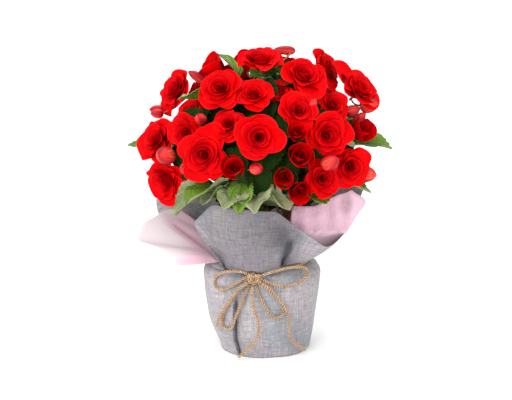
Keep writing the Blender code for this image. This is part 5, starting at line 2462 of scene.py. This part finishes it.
    def build_stalks(self, stem: int) -> None:
        """Build a stem, its flower stalks and its leaf stalks.

        Args:
            stem: the stem's number.
        """
        line = self.stem_line(stem)
        top = line[-1]
        low_joint = line[2].lerp(top, 0.4)
        shaper = Shaper()
        shaper.tube(smooth_route(line, 0.004), taper(*self.stem_taper), sides=12)
        borne = [k for k, bloom in enumerate(BLOOMS) if self.serving(bloom.bearing) == stem]
        for k, number in enumerate(borne):
            end = self.flowers.pedicel_end(number)
            back = (end - self.flowers.bloom_frame(number).translation).normalized()
            end = end + back * self.gap
            bend = end + back * self.back_share * (end - top).length
            start = top.lerp(low_joint, 0.1 + 0.16 * (k % 6))
            route = smooth_route([start, bend, end], 0.005)
            shaper.tube(route, taper(*self.flower_stalk_taper), sides=8, shade=0.45)
        for leaf in (*LEAVES, *self.hem, self.crown):
            if leaf.stem == stem:
                self.petiole(shaper, leaf, top, low_joint)
        name = f"leafy_stem_{stem + 1}"
        bring_in(f"{name}_stalks", shaper, [STALK.material()], Slot.FOLIAGE, [name])

    def petiole(self, shaper: Shaper, leaf: Leaf, top: Vector, low_joint: Vector) -> None:
        """Lay the stalk of one leaf, from its stem to the blade's foot.

        Args:
            shaper: the mesh that takes it.
            leaf: the leaf.
            top: the stem's top.
            low_joint: the stem's lower joint.
        """
        frame_of = self.leaf_frame(leaf)
        start = frame_of @ self.leaf_point(leaf, -1.0, 0.0)
        below = Vector((0.0, 0.0, self.petiole_sink))
        inside = frame_of @ (self.leaf_point(leaf, self.petiole_reach, 0.0) - below)
        joint = low_joint if leaf.height < self.low_leaves else top.lerp(low_joint, 0.2)
        arch = self.petiole_arch if leaf.height > self.flat_leaves else self.flat_petiole_arch
        middle = joint.lerp(start, 0.55) + Vector((0.0, 0.0, arch))
        route = smooth_route([joint, middle, inside], 0.004)
        shaper.tube(route, taper(*self.petiole_taper), sides=8, shade=0.35)

    def own_leaves(self, stem: int) -> list[tuple[Leaf, int, int]]:
        """The leaves of a stem, each with its seed and the material slot of its upper face.

        Args:
            stem: the stem's number.

        Returns:
            A row for each leaf.
        """
        rows = [
            (leaf, self.leaf_seeds + k, 2 if k in self.pale_side_up else 0) for k, leaf in enumerate(LEAVES)
        ]
        rows += [(leaf, self.hem_seeds + k, 2) for k, leaf in enumerate(self.hem)]
        rows.append((self.crown, self.crown_seed, 0))
        return [row for row in rows if row[0].stem == stem]

    def build(self) -> None:
        """Build the stems, then the blades of each stem as one piece."""
        top, under = LEAF_TOP.material(), LEAF_UNDER.material()
        for stem in range(self.stems):
            self.build_stalks(stem)
            shaper = Shaper()
            for leaf, seed, finish in self.own_leaves(stem):
                self.blade(shaper, leaf, self.leaf_frame(leaf), seed, self.blade_faces, finish)
            name = f"leafy_stem_{stem + 1}"
            piece = bring_in(f"{name}_leaves", shaper, [top, under, under, top], Slot.FOLIAGE, [name])
            thicken(piece, self.blade_thickness, -1.0, under=1)
            self.build_inner(stem)

    def pokes_out(self, leaf: Leaf, frame_of: Matrix) -> bool:
        """Whether a shaded leaf would reach through the tissue and the cloth in front.

        Args:
            leaf: the leaf.
            frame_of: its place and attitude.

        Returns:
            True where it would.
        """
        tip = frame_of @ Vector((leaf.length, 0.0, 0.0))
        low, wide = tip.z < self.collar_top, math.hypot(tip.x, tip.y) > self.collar_room
        return low and wide and tip.y < self.collar_back

    def build_inner(self, stem: int) -> None:
        """Build the shaded leaves of one stem's sector, each on a thin stalk.

        Args:
            stem: the stem's number.
        """
        shaper = Shaper()
        top = self.stem_line(stem)[-1]
        for k in range(self.inner_leaves):
            leaf, frame_of = self.inner_leaf(k)
            if self.serving(leaf.bearing) != stem or self.pokes_out(leaf, frame_of):
                continue
            self.blade(shaper, leaf, frame_of, self.inner_blade_seeds + k, self.inner_faces)
            foot = frame_of @ self.leaf_point(leaf, -0.9, 0.0)
            route = smooth_route([top, top.lerp(foot, 0.5) + Vector((0, 0, 0.006)), foot], 0.008)
            shaper.tube(route, taper(*self.inner_stalk_taper), sides=5, finish=1)
        name = f"leafy_stem_{stem + 1}"
        # The shaded leaves take the darker painted-shade finish.
        materials = [LEAF_IN_PAINTED_SHADE.material(), STALK.material()]
        bring_in(f"{name}_inner_leaves", shaper, materials, Slot.FOLIAGE, [name])


def main() -> None:
    """Build the studio, then every piece of the potted begonia."""
    logging.basicConfig(level=logging.INFO, format="%(message)s")
    Studio().build()
    Twine().build()
    wrap = Wrap()
    wrap.build()
    Tissue(wrap).build()
    PotAndSoil().build()
    flowers = Flowers()
    flowers.build()
    Foliage(flowers).build()
    bpy.context.view_layer.update()


if __name__ == "__main__":
    main()
